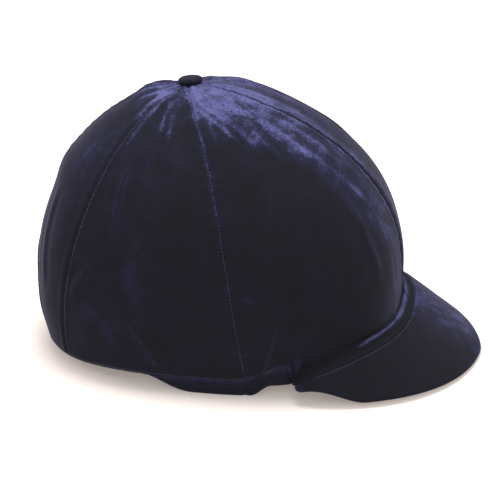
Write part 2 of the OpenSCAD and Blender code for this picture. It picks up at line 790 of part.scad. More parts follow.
// The tongue of the side-release buckle: a frame with a bar, a guide and two springy arms.
module buckle_tongue() {
    x = strap_face + tongue_bar_d / 2 + bar_fit;
    low = tongue_bar_z - 3.5;
    body = tongue_bar_z + 3.4;
    top = low + tongue_l + 2;
    color(grey) harness_side(0) translate([x, 0, 0]) {
        rotate([90, 0, 90]) translate([0, 0, -tongue_t / 2]) linear_extrude(tongue_t) {
            for (y = [-1, 1]) {
                polygon([
                    [y * (chin_w / 2 + 0.5), low], [y * (tongue_w / 2 + 0.5), low],
                    [y * (tongue_w / 2 + 0.5), body + 3], [y * (chin_w / 2 + 0.5), body + 3]
                ]);
                // The springy arm and its catch.
                polygon([
                    [y * (prong_w / 2 - 2), body + 2], [y * prong_w / 2, body + 2],
                    [y * (prong_w / 2 + 1), top - 5], [y * (prong_w / 2 + 1), top - 3], [y * (prong_w / 2 - 1), top],
                    [y * (prong_w / 2 - 3), top - 2], [y * (prong_w / 2 - 2), top - 6]
                ]);
            }
            translate([-tongue_w / 2 - 0.5, body]) square([tongue_w + 1, 3]);
            translate([-2, body + 2]) square([4, top - body - 4]);
            translate([0, top - 2]) circle(r = 2);
        }
        translate([0, 0, tongue_bar_z]) rotate([90, 0, 0])
            cylinder(d = tongue_bar_d, h = chin_w + 3, center = true);
    }
}

module buckle_strap() {
    inner_r = tongue_bar_d / 2 + bar_fit;
    color(black) harness_side(1) {
        flat_strap(band(slider_high - slot_depth, socket_bar_z - fold_h, chin_w));
        translate([strap_face + inner_r, 0, socket_bar_z]) mirror([0, 0, 1])
            web_loop(inner_r, fold_h - 1, stitch_h, chin_w);
    }
}

// The socket of the buckle: a flat box with an open mouth and a window on each side for the catches.
module buckle_socket() {
    x = strap_face + tongue_bar_d / 2 + bar_fit;
    low = socket_bar_z - 3.5;
    body = socket_bar_z + 3.4;
    top = low + socket_l;
    color(grey) harness_side(1) translate([x, 0, 0]) {
        difference() {
            rotate([90, 0, 90]) translate([0, 0, -socket_t / 2]) linear_extrude(socket_t)
                polygon([
                    [-socket_w / 2, low + 2], [-socket_w / 2 + 2, low], [socket_w / 2 - 2, low], [socket_w / 2, low + 2],
                    [socket_w / 2, top - 8], [socket_w / 2 - 1.2, top], [-socket_w / 2 + 1.2, top], [-socket_w / 2, top - 8]
                ]);
            // Room for the webbing round the bar.
            translate([0, 0, (low + body) / 2 - 1]) cube([socket_t + 2, chin_w + 1, body - low + 2], center = true);
            // The pocket for the tongue.
            translate([0, 0, body + 3 + socket_l / 2]) cube([tongue_t + 0.4, prong_w + 2.4, socket_l], center = true);
            // The windows on the sides.
            translate([0, 0, body + 9]) cube([tongue_t + 0.4, socket_w + 2, 7], center = true);
        }
        translate([0, 0, socket_bar_z]) rotate([90, 0, 0])
            cylinder(d = tongue_bar_d, h = chin_w + 3, center = true);
    }
}

// The stowed nape harness. Inside, x points out of the head and z runs up along the leaning strap.
module nape_frame() {
    translate([0, bar_nape_y + shift_y, bar_h]) rotate([stow_lean, 0, 0]) rotate([0, 0, 90]) children();
}

module nape_straps() {
    color(black) nape_frame() for (y = [-1, 1]) translate([0, y * nape_x, 0]) {
        web_loop(bar_d / 2 + bar_fit, fold_h, stitch_h, web_w);
        flat_strap(band(bend_h, nape_strap_l + nape_pad_l / 2, web_w));
    }
}

module nape_pad() {
    color(padding_black) nape_frame() difference() {
        translate([strap_mid, 0, nape_strap_l]) soft_block(nape_pad_l, nape_pad_w, nape_pad_t);
        for (y = [-1, 1]) translate([0, y * nape_x, 0])
            flat_strap(band(0, nape_strap_l + nape_pad_l / 2 + 0.5, web_w + 1), slot_fit);
    }
}

// ---------- cover ----------

// A panel between two seams, given as functions of the angle from the crown.
module panel(from, to) {
    top = crown_hole;
    foot = function (a) dome_angle(hem_line(a) + panel_fit, 0);
    point = function (i, j, off)
        let (
            t = i / panel_rows,
            rough = mix(top, foot(mix(from(90), to(90), j / panel_cols)), t),
            a = mix(from(rough), to(rough), j / panel_cols),
            b = mix(top, foot(a), t)
        )
        dome(a, b, off);
    outer = [for (i = [0:panel_rows]) [for (j = [0:panel_cols]) point(i, j, 0)]];
    inner = [for (i = [0:panel_rows]) [for (j = [0:panel_cols]) point(i, j, velvet_t)]];
    sheet(outer, inner);
}

// Half the gap at a seam as an angle, in the middle and at the sides.
middle_gap = asin(pow(seam_gap / half_w, plan_power / 2));
side_gap = seam_gap / half_w * 180 / PI;
function front_gap(b) = mix(middle_gap, side_gap, min(1, front_seam(b)));

module front_panel(hand) {
    panel(function (b) hand * front_seam(b) + front_gap(b), function (b) ear_seam(b) - side_gap);
}
module side_panel() {
    panel(function (b) ear_seam(b) + side_gap, function (b) back_seam(b) - side_gap);
}
module rear_panel() {
    panel(function (b) back_seam(b) + side_gap, function (b) 180 - middle_gap);
}

module on_right() { translate([0, shift_y, 0]) children(); }
module on_left() { translate([0, shift_y, 0]) mirror([1, 0, 0]) children(); }

module panel_front_right() { color(velvet) on_right() front_panel(1); }
module panel_side_right() { color(velvet_light) on_right() side_panel(); }
module panel_rear_right() { color(velvet) on_right() rear_panel(); }
module panel_front_left() { color(velvet_light) on_left() front_panel(-1); }
module panel_side_left() { color(velvet) on_left() side_panel(); }
module panel_rear_left() { color(velvet_light) on_left() rear_panel(); }

// The hem runs down outside the shell and turns in under it. Each corner is its depth, its height
// above the lower edge, and the share of the way from there up to the stitch line.
module hem_band() {
    t = velvet_t;
    section = [
        [0, 0, 1], [0, 0, 0.5], [0, 1.5, 0], [0.7, 0.4, 0], [2, 0, 0], [hem_under / 2, 0, 0], [hem_under, 0, 0],
        [hem_under, t, 0], [hem_under / 2, t, 0], [t, t, 0], [t, 0, 0.5], [t, 0, 1]
    ];
    height = function (a, c) let (low = edge_line(a)) low + c[1] + c[2] * (hem_line(a) - low);
    color(velvet) translate([0, shift_y, 0]) ring_sweep([
        for (c = section) [for (a = ring_angles) dome(a, dome_angle(height(a, c), c[0]), c[0])]
    ]);
}

module hem_elastic() {
    r = elastic_d / 2;
    off = hem_under - r - elastic_fit;
    high = velvet_t + r + elastic_fit;
    color(foam_white) translate([0, shift_y, 0]) ring_sweep([
        for (k = [0:5]) [
            for (a = ring_angles)
                let (c = [off - r * sin(60 * k), high + r * cos(60 * k)])
                dome(a, dome_angle(edge_line(a) + c[1], off), c[0])
        ]
    ]);
}

// The crown's top as a frame that leans back with the dome.
module on_crown() {
    translate([0, crown_back + shift_y, waist_h + crown]) rotate([-atan(crown_tilt), 0, 0]) children();
}

module crown_button() {
    low = 0.3;
    r = button_d / 2;
    color(velvet) on_crown() translate([0, 0, low]) difference() {
        rotate_extrude() difference() {
            intersection() {
                translate([0, button_h - dome_r]) circle(r = dome_r, $fn = 96);
                translate([0, 0]) square([r, button_h]);
            }
            // The covered rim curls in towards the crown.
            translate([r, 0]) circle(r = 1.6);
        }
        translate([0, 0, -1]) cylinder(d = shank_d + 0.4, h = 1 + shank_h - low + 0.3);
    }
}

module button_back() {
    low = 0.25 - shell_out;
    color(steel) on_crown() translate([0, 0, low]) {
        cylinder(d = 10, h = 0.45);
        cylinder(d = shank_d, h = shank_h - low);
    }
}

// ---------- peak ----------

peak_angles = [for (j = [0:peak_n]) mix(-peak_end, peak_end, j / peak_n)];
function turned_at(a) = max(0.3, 1 - edge_turn / peak_width(a));

// A strip of the peak, from an outline in [share, height, distance past] for each angle.
module peak_strip(outline) {
    bar_sweep([for (a = peak_angles) [for (c = outline(-a)) peak_point(-a, c[0], c[1], c[2])]]);
}

module peak_board() {
    h = board_top;
    color(grey) translate([0, shift_y, 0]) peak_strip(function (a) [
        [0, h, 0], [0.33, h, 0], [0.67, h, 0], [1, h, 0], [1, 0, 0.4],
        [1, -h, 0], [0.67, -h, 0], [0.33, -h, 0], [0, -h, 0]
    ]);
}

module peak_top_cover() {
    hi = cover_high;
    lo = cover_low;
    mid = (hi + lo) / 2;
    color(velvet) translate([0, shift_y, 0]) peak_strip(function (a) let (e = turned_at(a)) [
        [0, hi, 0], [0.33, hi, 0], [0.67, hi, 0], [1, hi, 0], [1, hi * 0.7, hi * 0.75], [1, 0, hi],
        [1, -hi * 0.7, hi * 0.75], [1, -hi, 0], [e, -hi, 0],
        [e, -lo, 0], [1, -lo, 0.4], [1, 0, lo + 0.2], [1, lo, 0.4], [0.67, lo, 0], [0.33, lo, 0], [0, lo, 0]
    ]);
}

module peak_lining() {
    hi = cover_low;
    lo = hi + lining_t;
    color(black) translate([0, shift_y, 0]) peak_strip(function (a)
        let (e = turned_at(a) - 0.4 / peak_width(a)) [
            [0, -hi, 0], [min(0.33, e / 2), -hi, 0], [0.67 * e, -hi, 0], [e, -hi, 0],
            [e, -lo, 0], [0.67 * e, -lo, 0], [min(0.33, e / 2), -lo, 0], [0, -lo, 0]
        ]);
}

// The roll fills the room between the cover and the root seam.
module peak_welt() {
    color(velvet) translate([0, shift_y, 0]) bar_sweep([
        for (a = peak_angles)
            let (
                fade = 1 - 0.5 * pow(abs(a) / peak_end, 8),
                high = root_line(a) + welt_rise,
                wall = dome(a, dome_angle(high, 0), 0),
                seam = root_at(a),
                way = [seam[0] - wall[0], seam[1] - wall[1], 0],
                out = way / norm(way),
                half = norm(way) / 2 - welt_fit,
                middle = [(seam[0] + wall[0]) / 2, (seam[1] + wall[1]) / 2, high]
            )
            [for (k = [0:9]) middle + fade * (out * half * cos(36 * k) + [0, 0, welt_h / 2 * sin(36 * k)])]
    ]);
}

outer_shell();
rim_beading();
impact_liner();
crown_pad();
forehead_pad();
nape_lining_pad();
temple_pads();
pad_hook_tapes();
harness_rivets();
rivet_washers();
strap_hangers();
front_strap_left();
rear_strap_left();
ear_slider_left();
chin_strap();
chin_pad();
strap_keeper();
buckle_tongue();
front_strap_right();
rear_strap_right();
ear_slider_right();
buckle_strap();
buckle_socket();
nape_straps();
nape_pad();
panel_front_right();
panel_side_right();
panel_rear_right();
panel_front_left();
panel_side_left();
panel_rear_left();
hem_band();
hem_elastic();
crown_button();
button_back();
peak_board();
peak_top_cover();
peak_lining();
peak_welt();
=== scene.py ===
# Riding helmet: a moulded skull cap with its harness, under a removable velvet cover with a peak.
import json
import math

import bmesh
import bpy
from mathutils import Matrix, Vector, noise

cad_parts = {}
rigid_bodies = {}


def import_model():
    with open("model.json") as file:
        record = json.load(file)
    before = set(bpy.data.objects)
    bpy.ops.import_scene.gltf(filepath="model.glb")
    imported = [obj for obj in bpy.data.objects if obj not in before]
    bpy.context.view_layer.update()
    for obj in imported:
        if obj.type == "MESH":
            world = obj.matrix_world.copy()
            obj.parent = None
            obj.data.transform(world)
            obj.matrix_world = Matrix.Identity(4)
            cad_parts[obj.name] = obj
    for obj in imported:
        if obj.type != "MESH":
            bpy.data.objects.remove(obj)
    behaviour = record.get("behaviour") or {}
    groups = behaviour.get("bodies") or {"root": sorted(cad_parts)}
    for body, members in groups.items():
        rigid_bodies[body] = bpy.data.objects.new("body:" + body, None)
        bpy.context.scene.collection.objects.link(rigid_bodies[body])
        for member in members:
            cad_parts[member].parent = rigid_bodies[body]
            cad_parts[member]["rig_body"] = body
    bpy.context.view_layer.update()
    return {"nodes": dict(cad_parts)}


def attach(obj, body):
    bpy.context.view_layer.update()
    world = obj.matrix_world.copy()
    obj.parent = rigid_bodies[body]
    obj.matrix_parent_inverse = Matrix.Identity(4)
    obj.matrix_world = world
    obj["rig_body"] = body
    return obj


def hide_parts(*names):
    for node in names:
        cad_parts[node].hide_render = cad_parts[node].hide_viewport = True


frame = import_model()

MM = 0.001

# ---------- the helmet's own sizes, in millimetres and degrees ----------

# The velvet's outside: half length, half width, height over the waist, depth under it.
HALF_L, HALF_W, CROWN, BOWL = 139.4, 118.4, 145.2, 150.4
WAIST = 55
PLAN_POWER, ARCH_POWER, SETBACK_POWER = 2.5, 2.01, 2.2
CROWN_BACK, CROWN_TILT = 23, 0.085
SHIFT_Y = 31.475
TOP = WAIST + CROWN

# Depths under the velvet's outside.
PAD_BACK, PAD_FACE = 33.4, 40.4
PAD_FOOT, PAD_HEAD = 11.3, 67
PAD_SHEET, PAD_VOXEL, PAD_SWELL = 4.2, 1.9, 1.3

# The lower edge and the hem.
BROW, TEMPLE, NAPE = 16, 12, 9.5
LOBE_AT, LOBE_FLAT, LOBE_RISE, LOBE_RISE_BACK = 83, 6, 8, 12
SIDE_RISE, SIDE_AT, SIDE_SPAN = 1.8, 106, 28
HEM_SEAM, HEM_LIFT = 14, 17
DIP_FRONT, DIP_FRONT_W = 1.5, 22
ELASTIC_DEPTH, ELASTIC_HEIGHT, ELASTIC_R = 14.4, 3.5, 1.3

# The seams of the six panels, which run down from the button.
FRONT_SEAM_CROWN, FRONT_SEAM_FADE = 22, 38
EAR_SEAM_WAIST, EAR_SEAM_BEND = 82.3, 60

# The peak.
PEAK_END, PEAK_REACH = 62, 51
ROOT_H, ROOT_DROP, ROOT_OUT, ROOT_TUCK, ROOT_POWER = 33, 19, 9.7, 5, 3.85
EDGE_H, EDGE_ARCH, PEAK_BOW = 3.2, 0.1, 1
CORNER_START, CORNER_PAST, REACH_POWER = 44.5, 4, 1.12
COVER_LOW, COVER_HIGH, LINING_T = 1.15, 2.15, 0.9
EDGE_TURN = 6

# The harness.
BAR_X, BAR_NAPE_Y, BAR_H = 76.8, 92.8, 16
HANGER_Y, NAPE_X, STOW_LEAN = 30, 24, 20
WEB_W, WEB_T, CHIN_W = 15, 1.5, 18
STRAP_MID, SECOND_MID = -2.45, -0.95
SLIDER_LOW, SLIDER_HIGH = 44, 62
ENTRY_Y = 9
SEW_LOW, SEW_HIGH = 9.4, 12.8


# ---------- curves of the helmet ----------

def smooth(t):
    u = min(max(t, 0), 1)
    return u * u * (3 - 2 * u)


def mix(a, b, t):
    return a + (b - a) * t


def bump_at(x, width):
    return math.exp(-((x / width) ** 2))


def root_power(value, power):
    return math.copysign(abs(value) ** power, value)


def plan(angle, length, width):
    turn = math.radians(angle)
    power = 2 / PLAN_POWER
    return Vector((-root_power(math.sin(turn), power) * width, -root_power(math.cos(turn), power) * length))


def dome(angle, down, depth):
    """A point of the dome: angle goes round the head from the brow over the right ear, and down from
    the crown. Depth is measured inwards from the velvet's outside."""
    lean = math.radians(down)
    flat = plan(angle, HALF_L - depth, HALF_W - depth)
    if down <= 90:
        level = max(0.0, math.cos(lean))
        reach = math.sin(lean) ** (2 / ARCH_POWER)
        rise = (CROWN - depth) * level ** (2 / ARCH_POWER)
        rise -= CROWN_TILT * plan(angle, HALF_L, HALF_W).y * reach * level
        back = CROWN_BACK * level ** SETBACK_POWER
    else:
        reach, rise, back = math.sin(lean), (BOWL - depth) * math.cos(lean), 0
    return Vector((flat.x * reach, flat.y * reach + back + SHIFT_Y, WAIST + rise))


def dome_down(height, depth):
    """The angle down from the crown at which the dome is at a height."""
    if height < WAIST:
        return 90 + math.degrees(math.asin((WAIST - height) / (BOWL - depth)))
    return math.degrees(math.acos(((height - WAIST) / (CROWN - depth)) ** (ARCH_POWER / 2)))


def dome_normal(angle, down, depth=0):
    """The dome's outward direction. Its small steps stay off the top, where the dome has no round way."""
    low = max(down, 2.5)
    round_way = dome(angle + 0.4, low, depth) - dome(angle - 0.4, low, depth)
    down_way = dome(angle, low + 0.4, depth) - dome(angle, low - 0.4, depth)
    return round_way.cross(down_way).normalized()


def fold(angle):
    half = abs(angle) % 360
    return 360 - half if half > 180 else half


def edge_line(angle):
    at = fold(angle)
    if at < 60:
        base = mix(BROW, TEMPLE, smooth(at / 60))
    else:
        base = mix(TEMPLE, NAPE, smooth((at - 60) / 120))
    base += SIDE_RISE * (1 - smooth(abs(at - SIDE_AT) / SIDE_SPAN))
    rise = LOBE_RISE if at < LOBE_AT else LOBE_RISE_BACK
    lobe = 1 - smooth((abs(at - LOBE_AT) - LOBE_FLAT) / rise)
    return base * (1 - lobe)


def cloth_edge(angle):
    """The lower edge of the cloth: between the lobes and the peak it hangs below the shell."""
    at = fold(angle)
    hang = 3.0 * smooth((at - 59) / 4) * smooth((LOBE_AT - LOBE_FLAT - at) / 4)
    return edge_line(angle) - min(hang, edge_line(angle) - 0.2)


def front_seam(down):
    return FRONT_SEAM_CROWN * math.exp(-((down / FRONT_SEAM_FADE) ** 2))


def ear_seam(down):
    low = max(0.0, down - EAR_SEAM_BEND) / (105 - EAR_SEAM_BEND)
    return EAR_SEAM_WAIST + 10 * math.exp(-down / 10) - 5 * low ** 2


def back_seam(down):
    return mix(112, 133, down / 105)


def root_line(angle):
    return ROOT_H - ROOT_DROP * (abs(angle) / PEAK_END) ** ROOT_POWER


def root_at(angle):
    out = ROOT_OUT - ROOT_TUCK * (abs(angle) / PEAK_END) ** 4
    return plan(angle, HALF_L + out, HALF_W + out)


def peak_width(angle):
    return PEAK_REACH * (1 - (abs(angle) / (PEAK_END + CORNER_PAST)) ** REACH_POWER)


def peak_edge_line(angle):
    side = EDGE_ARCH * smooth(abs(angle) / CORNER_START)
    end = (1 - EDGE_ARCH) * smooth((abs(angle) - CORNER_START) / (PEAK_END + 3 - CORNER_START))
    return mix(EDGE_H, root_line(angle) - 1, side + end)


def peak_middle(angle, share):
    """The peak's middle surface, from the root seam, 0, to the edge of its board, 1."""
    root = root_at(angle)
    out = root.normalized() * peak_width(angle) * share
    bow = PEAK_BOW * math.sin(math.pi * min(max(share, 0), 1)) * peak_width(angle) / PEAK_REACH
    height = mix(root_line(angle), peak_edge_line(angle), share) + bow
    return Vector((root.x + out.x, root.y + out.y + SHIFT_Y, height))


def peak_point(angle, share, off, past=0.0):
    """A point off the peak's middle surface, past its edge by some millimetres."""
    along = peak_middle(angle, share + 0.01) - peak_middle(angle, share - 0.01)
    across = peak_middle(angle - 0.5, share) - peak_middle(angle + 0.5, share)
    up = along.cross(across).normalized()
    return peak_middle(angle, share) + up * off + along.normalized() * past


# ---------- making pieces ----------

def finish_piece(name, mesh, finish, body, replaced):
    """Turns a bmesh in metres into a smooth piece that rides on a body, in the place of some CAD nodes."""
    data = bpy.data.meshes.new(name)
    mesh.to_mesh(data)
    mesh.free()
    data.shade_smooth()
    made = bpy.data.objects.new(name, data)
    bpy.context.scene.collection.objects.link(made)
    for one in finish if isinstance(finish, (list, tuple)) else [finish]:
        data.materials.append(one)
    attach(made, body)
    if replaced:
        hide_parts(*replaced)
    return made


def laid_grid(columns, rows, place, closed=False):
    """A grid whose points place(u, v) gives in millimetres, each with its place on the flat cloth and its nap
    value, which also carries painted light and shade."""
    mesh = bmesh.new()
    bmesh.ops.create_grid(mesh, x_segments=columns, y_segments=rows, size=0.5)
    flat = mesh.loops.layers.uv.new("Flat")
    nap_and_painted_light = mesh.verts.layers.float.new("nap_and_painted_light")
    spots = {}
    for corner in mesh.verts:
        point, spots[corner], corner[nap_and_painted_light] = place(corner.co.x + 0.5, corner.co.y + 0.5)
        corner.co = point * MM
    for face in mesh.faces:
        for loop in face.loops:
            loop[flat].uv = spots[loop.vert]
    if closed:
        bmesh.ops.remove_doubles(mesh, verts=mesh.verts, dist=0.00001)
    return mesh


def thicken(made, thickness, inner_finish=0, offset=-1.0):
    """Gives a sheet its thickness, in millimetres, with another finish on its inside."""
    layer = made.modifiers.new("Thickness", "SOLIDIFY")
    layer.thickness = thickness * MM
    layer.offset = offset
    layer.material_offset = inner_finish
    return layer


def through(corners, share):
    """A smooth line through a section's corners, at a share of the way along them."""
    spot = share * (len(corners) - 1)
    first = min(int(spot), len(corners) - 2)
    t = spot - first
    before, start, end, after = (corners[min(max(first + k, 0), len(corners) - 1)] for k in (-1, 0, 1, 2))
    return [
        q + 0.5 * t * (r - p + t * (2 * p - 5 * q + 4 * r - w + t * (3 * q - p - 3 * r + w)))
        for p, q, r, w in zip(before, start, end, after)
    ]


def walk(points, pitch):
    """Points at an even pitch along a line of points, each with the line's direction there."""
    steps, left = [], pitch / 2
    for start, end in zip(points, points[1:]):
        way = end - start
        long = way.length
        while left < long:
            steps.append((start + way * (left / long), way.normalized()))
            left += pitch
        left -= long
    return steps


def stitch_row(mesh, points, pitch, length, thick, out):
    """Adds a row of thread stitches along a line of points, each raised along out(point)."""
    for point, way in walk(points, pitch):
        up = out(point)
        side = way.cross(up).normalized()
        turn = Matrix((way, side, side.cross(way))).transposed().to_4x4()
        size = Matrix.Diagonal((length / 2 * MM, thick / 2 * MM, thick / 2 * MM, 1))
        bmesh.ops.create_uvsphere(
            mesh, u_segments=6, v_segments=4, radius=1,
            matrix=Matrix.Translation(point * MM) @ turn @ size,
        )


def tube(columns, rows, middle, radius):
    """A tube round a closed or open line: middle(v) gives its point and two directions across it."""
    def place(u, v):
        point, side, up = middle(v)
        turn = 2 * math.pi * u
        size = radius(u, v)
        return point + side * (size * math.cos(turn)) + up * (size * math.sin(turn)), (u * 10, v * 800), 0.0
    mesh = laid_grid(columns, rows, place, closed=True)
    bmesh.ops.recalc_face_normals(mesh, faces=mesh.faces)
    return mesh


def merged_copy(node, finish, sharp=32):
    """A copy of a moulded CAD node with its points joined and its tiniest edges dissolved, so that its
    round faces shade as round."""
    source = frame["nodes"][node]
    mesh = bmesh.new()
    mesh.from_mesh(source.data)
    bmesh.ops.remove_doubles(mesh, verts=mesh.verts, dist=0.000005)
    bmesh.ops.dissolve_degenerate(mesh, edges=mesh.edges, dist=0.00003)
    made = finish_piece("moulded_" + node, mesh, finish, source["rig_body"], [node])
    made.data.set_sharp_from_angle(angle=math.radians(sharp))
    return made


# ---------- materials ----------

def linear(hex_code):
    """An sRGB hex colour as linear numbers, with alpha."""
    parts = [int(hex_code[i:i + 2], 16) / 255 for i in (1, 3, 5)]
    return [p / 12.92 if p <= 0.04045 else ((p + 0.055) / 1.055) ** 2.4 for p in parts] + [1.0]


def add(tree, kind, sockets=None, stops=None, **settings):
    """Adds a node with its settings. A socket gets a value, or a link where the value is another socket."""
    node = tree.nodes.new(kind)
    for key, value in settings.items():
        setattr(node, key, value)
    if stops:
        while len(node.color_ramp.elements) < len(stops):
            node.color_ramp.elements.new(1.0)
        for element, (position, hex_code) in zip(node.color_ramp.elements, stops):
            element.position = position
            element.color = linear(hex_code)
    for key, value in (sockets or {}).items():
        if isinstance(value, bpy.types.NodeSocket):
            tree.links.new(value, node.inputs[key])
        else:
            node.inputs[key].default_value = value
    return node


def maths(tree, operation, *values, kind="ShaderNodeMath"):
    """Adds a maths node for values that are numbers or sockets, and gives the socket of its result."""
    return add(tree, kind, dict(enumerate(values)), operation=operation).outputs[0]


def new_material(name):
    """An empty node material, its tree, and the tree's object coordinates."""
    made = bpy.data.materials.new(name)
    made.use_nodes = True
    made.node_tree.nodes.clear()
    place = add(made.node_tree, "ShaderNodeTexCoord")
    return made, made.node_tree, place


def surface(tree, sockets):
    """Ends a material in one Principled shader."""
    shader = add(tree, "ShaderNodeBsdfPrincipled", sockets)
    add(tree, "ShaderNodeOutputMaterial", {"Surface": shader.outputs["BSDF"]})


def velvet_pile(name, bright):
    """Cotton velvet, woven and cut: a deep navy pile that looks near black face on and pale at a slant.
    bright is how far the nap value shows. Each point's nap value says how far the pile is laid over, and
    also carries painted highlights and painted shade."""
    made, tree, place = new_material(name)
    here = place.outputs["Object"]
    # Streaks of laid pile that run out from the button: round the crown and down from it.
    to_button = (0, -(SHIFT_Y + CROWN_BACK) * MM, 0)
    centred = maths(tree, "ADD", here, to_button, kind="ShaderNodeVectorMath")
    level = maths(tree, "MULTIPLY", centred, (1, 1, 0), kind="ShaderNodeVectorMath")
    heading = maths(tree, "NORMALIZE", level, kind="ShaderNodeVectorMath")
    spread = maths(tree, "MULTIPLY", heading, (9, 9, 0), kind="ShaderNodeVectorMath")
    slide = maths(tree, "MULTIPLY", here, (0, 0, 22), kind="ShaderNodeVectorMath")
    ray = maths(tree, "ADD", spread, slide, kind="ShaderNodeVectorMath")
    streak = add(tree, "ShaderNodeTexNoise", {
        "Vector": ray, "Scale": 1.0, "Detail": 4.0, "Roughness": 0.6,
    })
    # Blots of pile about 9 mm wide, clumps of 2.5 mm, and single tufts, drawn 1 mm wide so that they show.
    blot = add(tree, "ShaderNodeTexNoise", {"Vector": here, "Scale": 110.0, "Detail": 3.0, "Roughness": 0.55})
    clump = add(tree, "ShaderNodeTexNoise", {"Vector": here, "Scale": 400.0, "Detail": 2.0, "Roughness": 0.6})
    tuft = add(tree, "ShaderNodeTexNoise", {"Vector": here, "Scale": 1000.0, "Detail": 2.0, "Roughness": 0.6})
    laid_and_lit = add(tree, "ShaderNodeAttribute", attribute_name="nap_and_painted_light", attribute_type="GEOMETRY")
    pattern = maths(tree, "MULTIPLY_ADD", streak.outputs["Fac"], 0.8, -0.95)
    for part, weight in ((blot, 0.7), (clump, 0.7), (tuft, 1.1)):
        pattern = maths(tree, "MULTIPLY_ADD", part.outputs["Fac"], weight, pattern)
    # The four patterns centre on 0.7; the nap value, laid pile with painted light, scales what shows of them.
    scaled = maths(tree, "MULTIPLY", pattern, laid_and_lit.outputs["Fac"])
    shown = maths(tree, "MULTIPLY_ADD", scaled, bright, -0.08)
    shown = maths(tree, "MULTIPLY_ADD", tuft.outputs["Fac"], 0.24, shown)
    shade = add(tree, "ShaderNodeValToRGB", {"Fac": shown}, stops=[
        (0.0, "#1c1c1e"), (0.2, "#20202a"), (0.45, "#2a2a42"), (1.0, "#65679b"),
    ])
    raised = add(tree, "ShaderNodeBump", {
        "Height": tuft.outputs["Fac"], "Strength": 0.5, "Distance": 0.0003,
    })
    raised = add(tree, "ShaderNodeBump", {
        "Height": blot.outputs["Fac"], "Strength": 0.25, "Distance": 0.001,
        "Normal": raised.outputs["Normal"],
    })
    surface(tree, {
        "Base Color": shade.outputs["Color"], "Roughness": 0.95, "Specular IOR Level": 0.1,
        "Sheen Weight": 0.55, "Sheen Roughness": 0.35, "Sheen Tint": linear("#8988a2"),
        "Normal": raised.outputs["Normal"],
    })
    return made


def woven(name, first, second, across, along, rough, raise_by, sheen=0.0, specular=0.3):
    """A plain weave on the piece's own flat millimetres: threads across and along pass over each other."""
    made, tree, place = new_material(name)
    flat = place.outputs["UV"]
    parts = add(tree, "ShaderNodeSeparateXYZ", {"Vector": flat})
    over = maths(tree, "MULTIPLY", parts.outputs["X"], 2 * math.pi / across)
    over = maths(tree, "SINE", over)
    under = maths(tree, "MULTIPLY", parts.outputs["Y"], 2 * math.pi / along)
    under = maths(tree, "SINE", under)
    cross = maths(tree, "MULTIPLY", over, under)
    height = maths(tree, "MULTIPLY_ADD", cross, 0.5, 0.5)
    fibre = add(tree, "ShaderNodeTexNoise", {"Vector": flat, "Scale": 3.0, "Detail": 3.0})
    both = maths(tree, "MULTIPLY_ADD", fibre.outputs["Fac"], 0.5, height)
    shade = add(tree, "ShaderNodeValToRGB", {"Fac": both}, stops=[(0.1, first), (1.1, second)])
    raised = add(tree, "ShaderNodeBump", {
        "Height": height, "Strength": 0.7, "Distance": raise_by * MM,
    })
    sockets = {
        "Base Color": shade.outputs["Color"], "Roughness": rough, "Specular IOR Level": specular,
        "Normal": raised.outputs["Normal"],
    }
    if sheen:
        sockets.update({"Sheen Weight": sheen, "Sheen Roughness": 0.4})
    surface(tree, sockets)
    return made


def moulded(name, base, worn, grain_mm, grain_depth, rough_low, rough_high, specular=0.5, metal=0.0):
    """A moulded, painted or rolled finish: a fine grain, patches of other gloss, and slight rubbing."""
    made, tree, place = new_material(name)
    here = place.outputs["Object"]
    grain = add(tree, "ShaderNodeTexNoise", {"Vector": here, "Scale": 1000 / grain_mm, "Detail": 4.0})
    patch = add(tree, "ShaderNodeTexNoise", {"Vector": here, "Scale": 45.0, "Detail": 3.0, "Roughness": 0.6})
    shade = add(tree, "ShaderNodeValToRGB", {"Fac": patch.outputs["Fac"]}, stops=[
        (0.35, base), (0.75, worn),
    ])
    gloss = add(tree, "ShaderNodeMapRange", {
        "Value": patch.outputs["Fac"], "From Min": 0.3, "From Max": 0.7,
        "To Min": rough_low, "To Max": rough_high,
    })
    raised = add(tree, "ShaderNodeBump", {
        "Height": grain.outputs["Fac"], "Strength": 0.5, "Distance": grain_depth * MM,
    })
    surface(tree, {
        "Base Color": shade.outputs["Color"], "Roughness": gloss.outputs["Result"], "Metallic": metal,
        "Specular IOR Level": specular, "Normal": raised.outputs["Normal"],
    })
    return made


def bead_foam():
    """Expanded polystyrene, steamed in a mould: pale beads about 3 mm wide with darker joints."""
    made, tree, place = new_material("expanded polystyrene foam, steam moulded")
    here = place.outputs["Object"]
    cell = add(tree, "ShaderNodeTexVoronoi", {"Vector": here, "Scale": 330.0}, feature="F1")
    joint = add(tree, "ShaderNodeTexVoronoi", {"Vector": here, "Scale": 330.0}, feature="DISTANCE_TO_EDGE")
    line = add(tree, "ShaderNodeMapRange", {"Value": joint.outputs["Distance"], "From Max": 0.12})
    tone = add(tree, "ShaderNodeSeparateColor", {"Color": cell.outputs["Color"]})
    mixed = maths(tree, "MULTIPLY_ADD", tone.outputs["Red"], 0.3, 0.7)
    level = maths(tree, "MULTIPLY", mixed, line.outputs["Result"])
    shade = add(tree, "ShaderNodeValToRGB", {"Fac": level}, stops=[
        (0.1, "#b3b2ab"), (0.9, "#e9e8e2"),
    ])
    raised = add(tree, "ShaderNodeBump", {
        "Height": line.outputs["Result"], "Strength": 0.6, "Distance": 0.0004,
    })
    surface(tree, {
        "Base Color": shade.outputs["Color"], "Roughness": 0.7, "Specular IOR Level": 0.3,
        "Normal": raised.outputs["Normal"],
    })
    return made


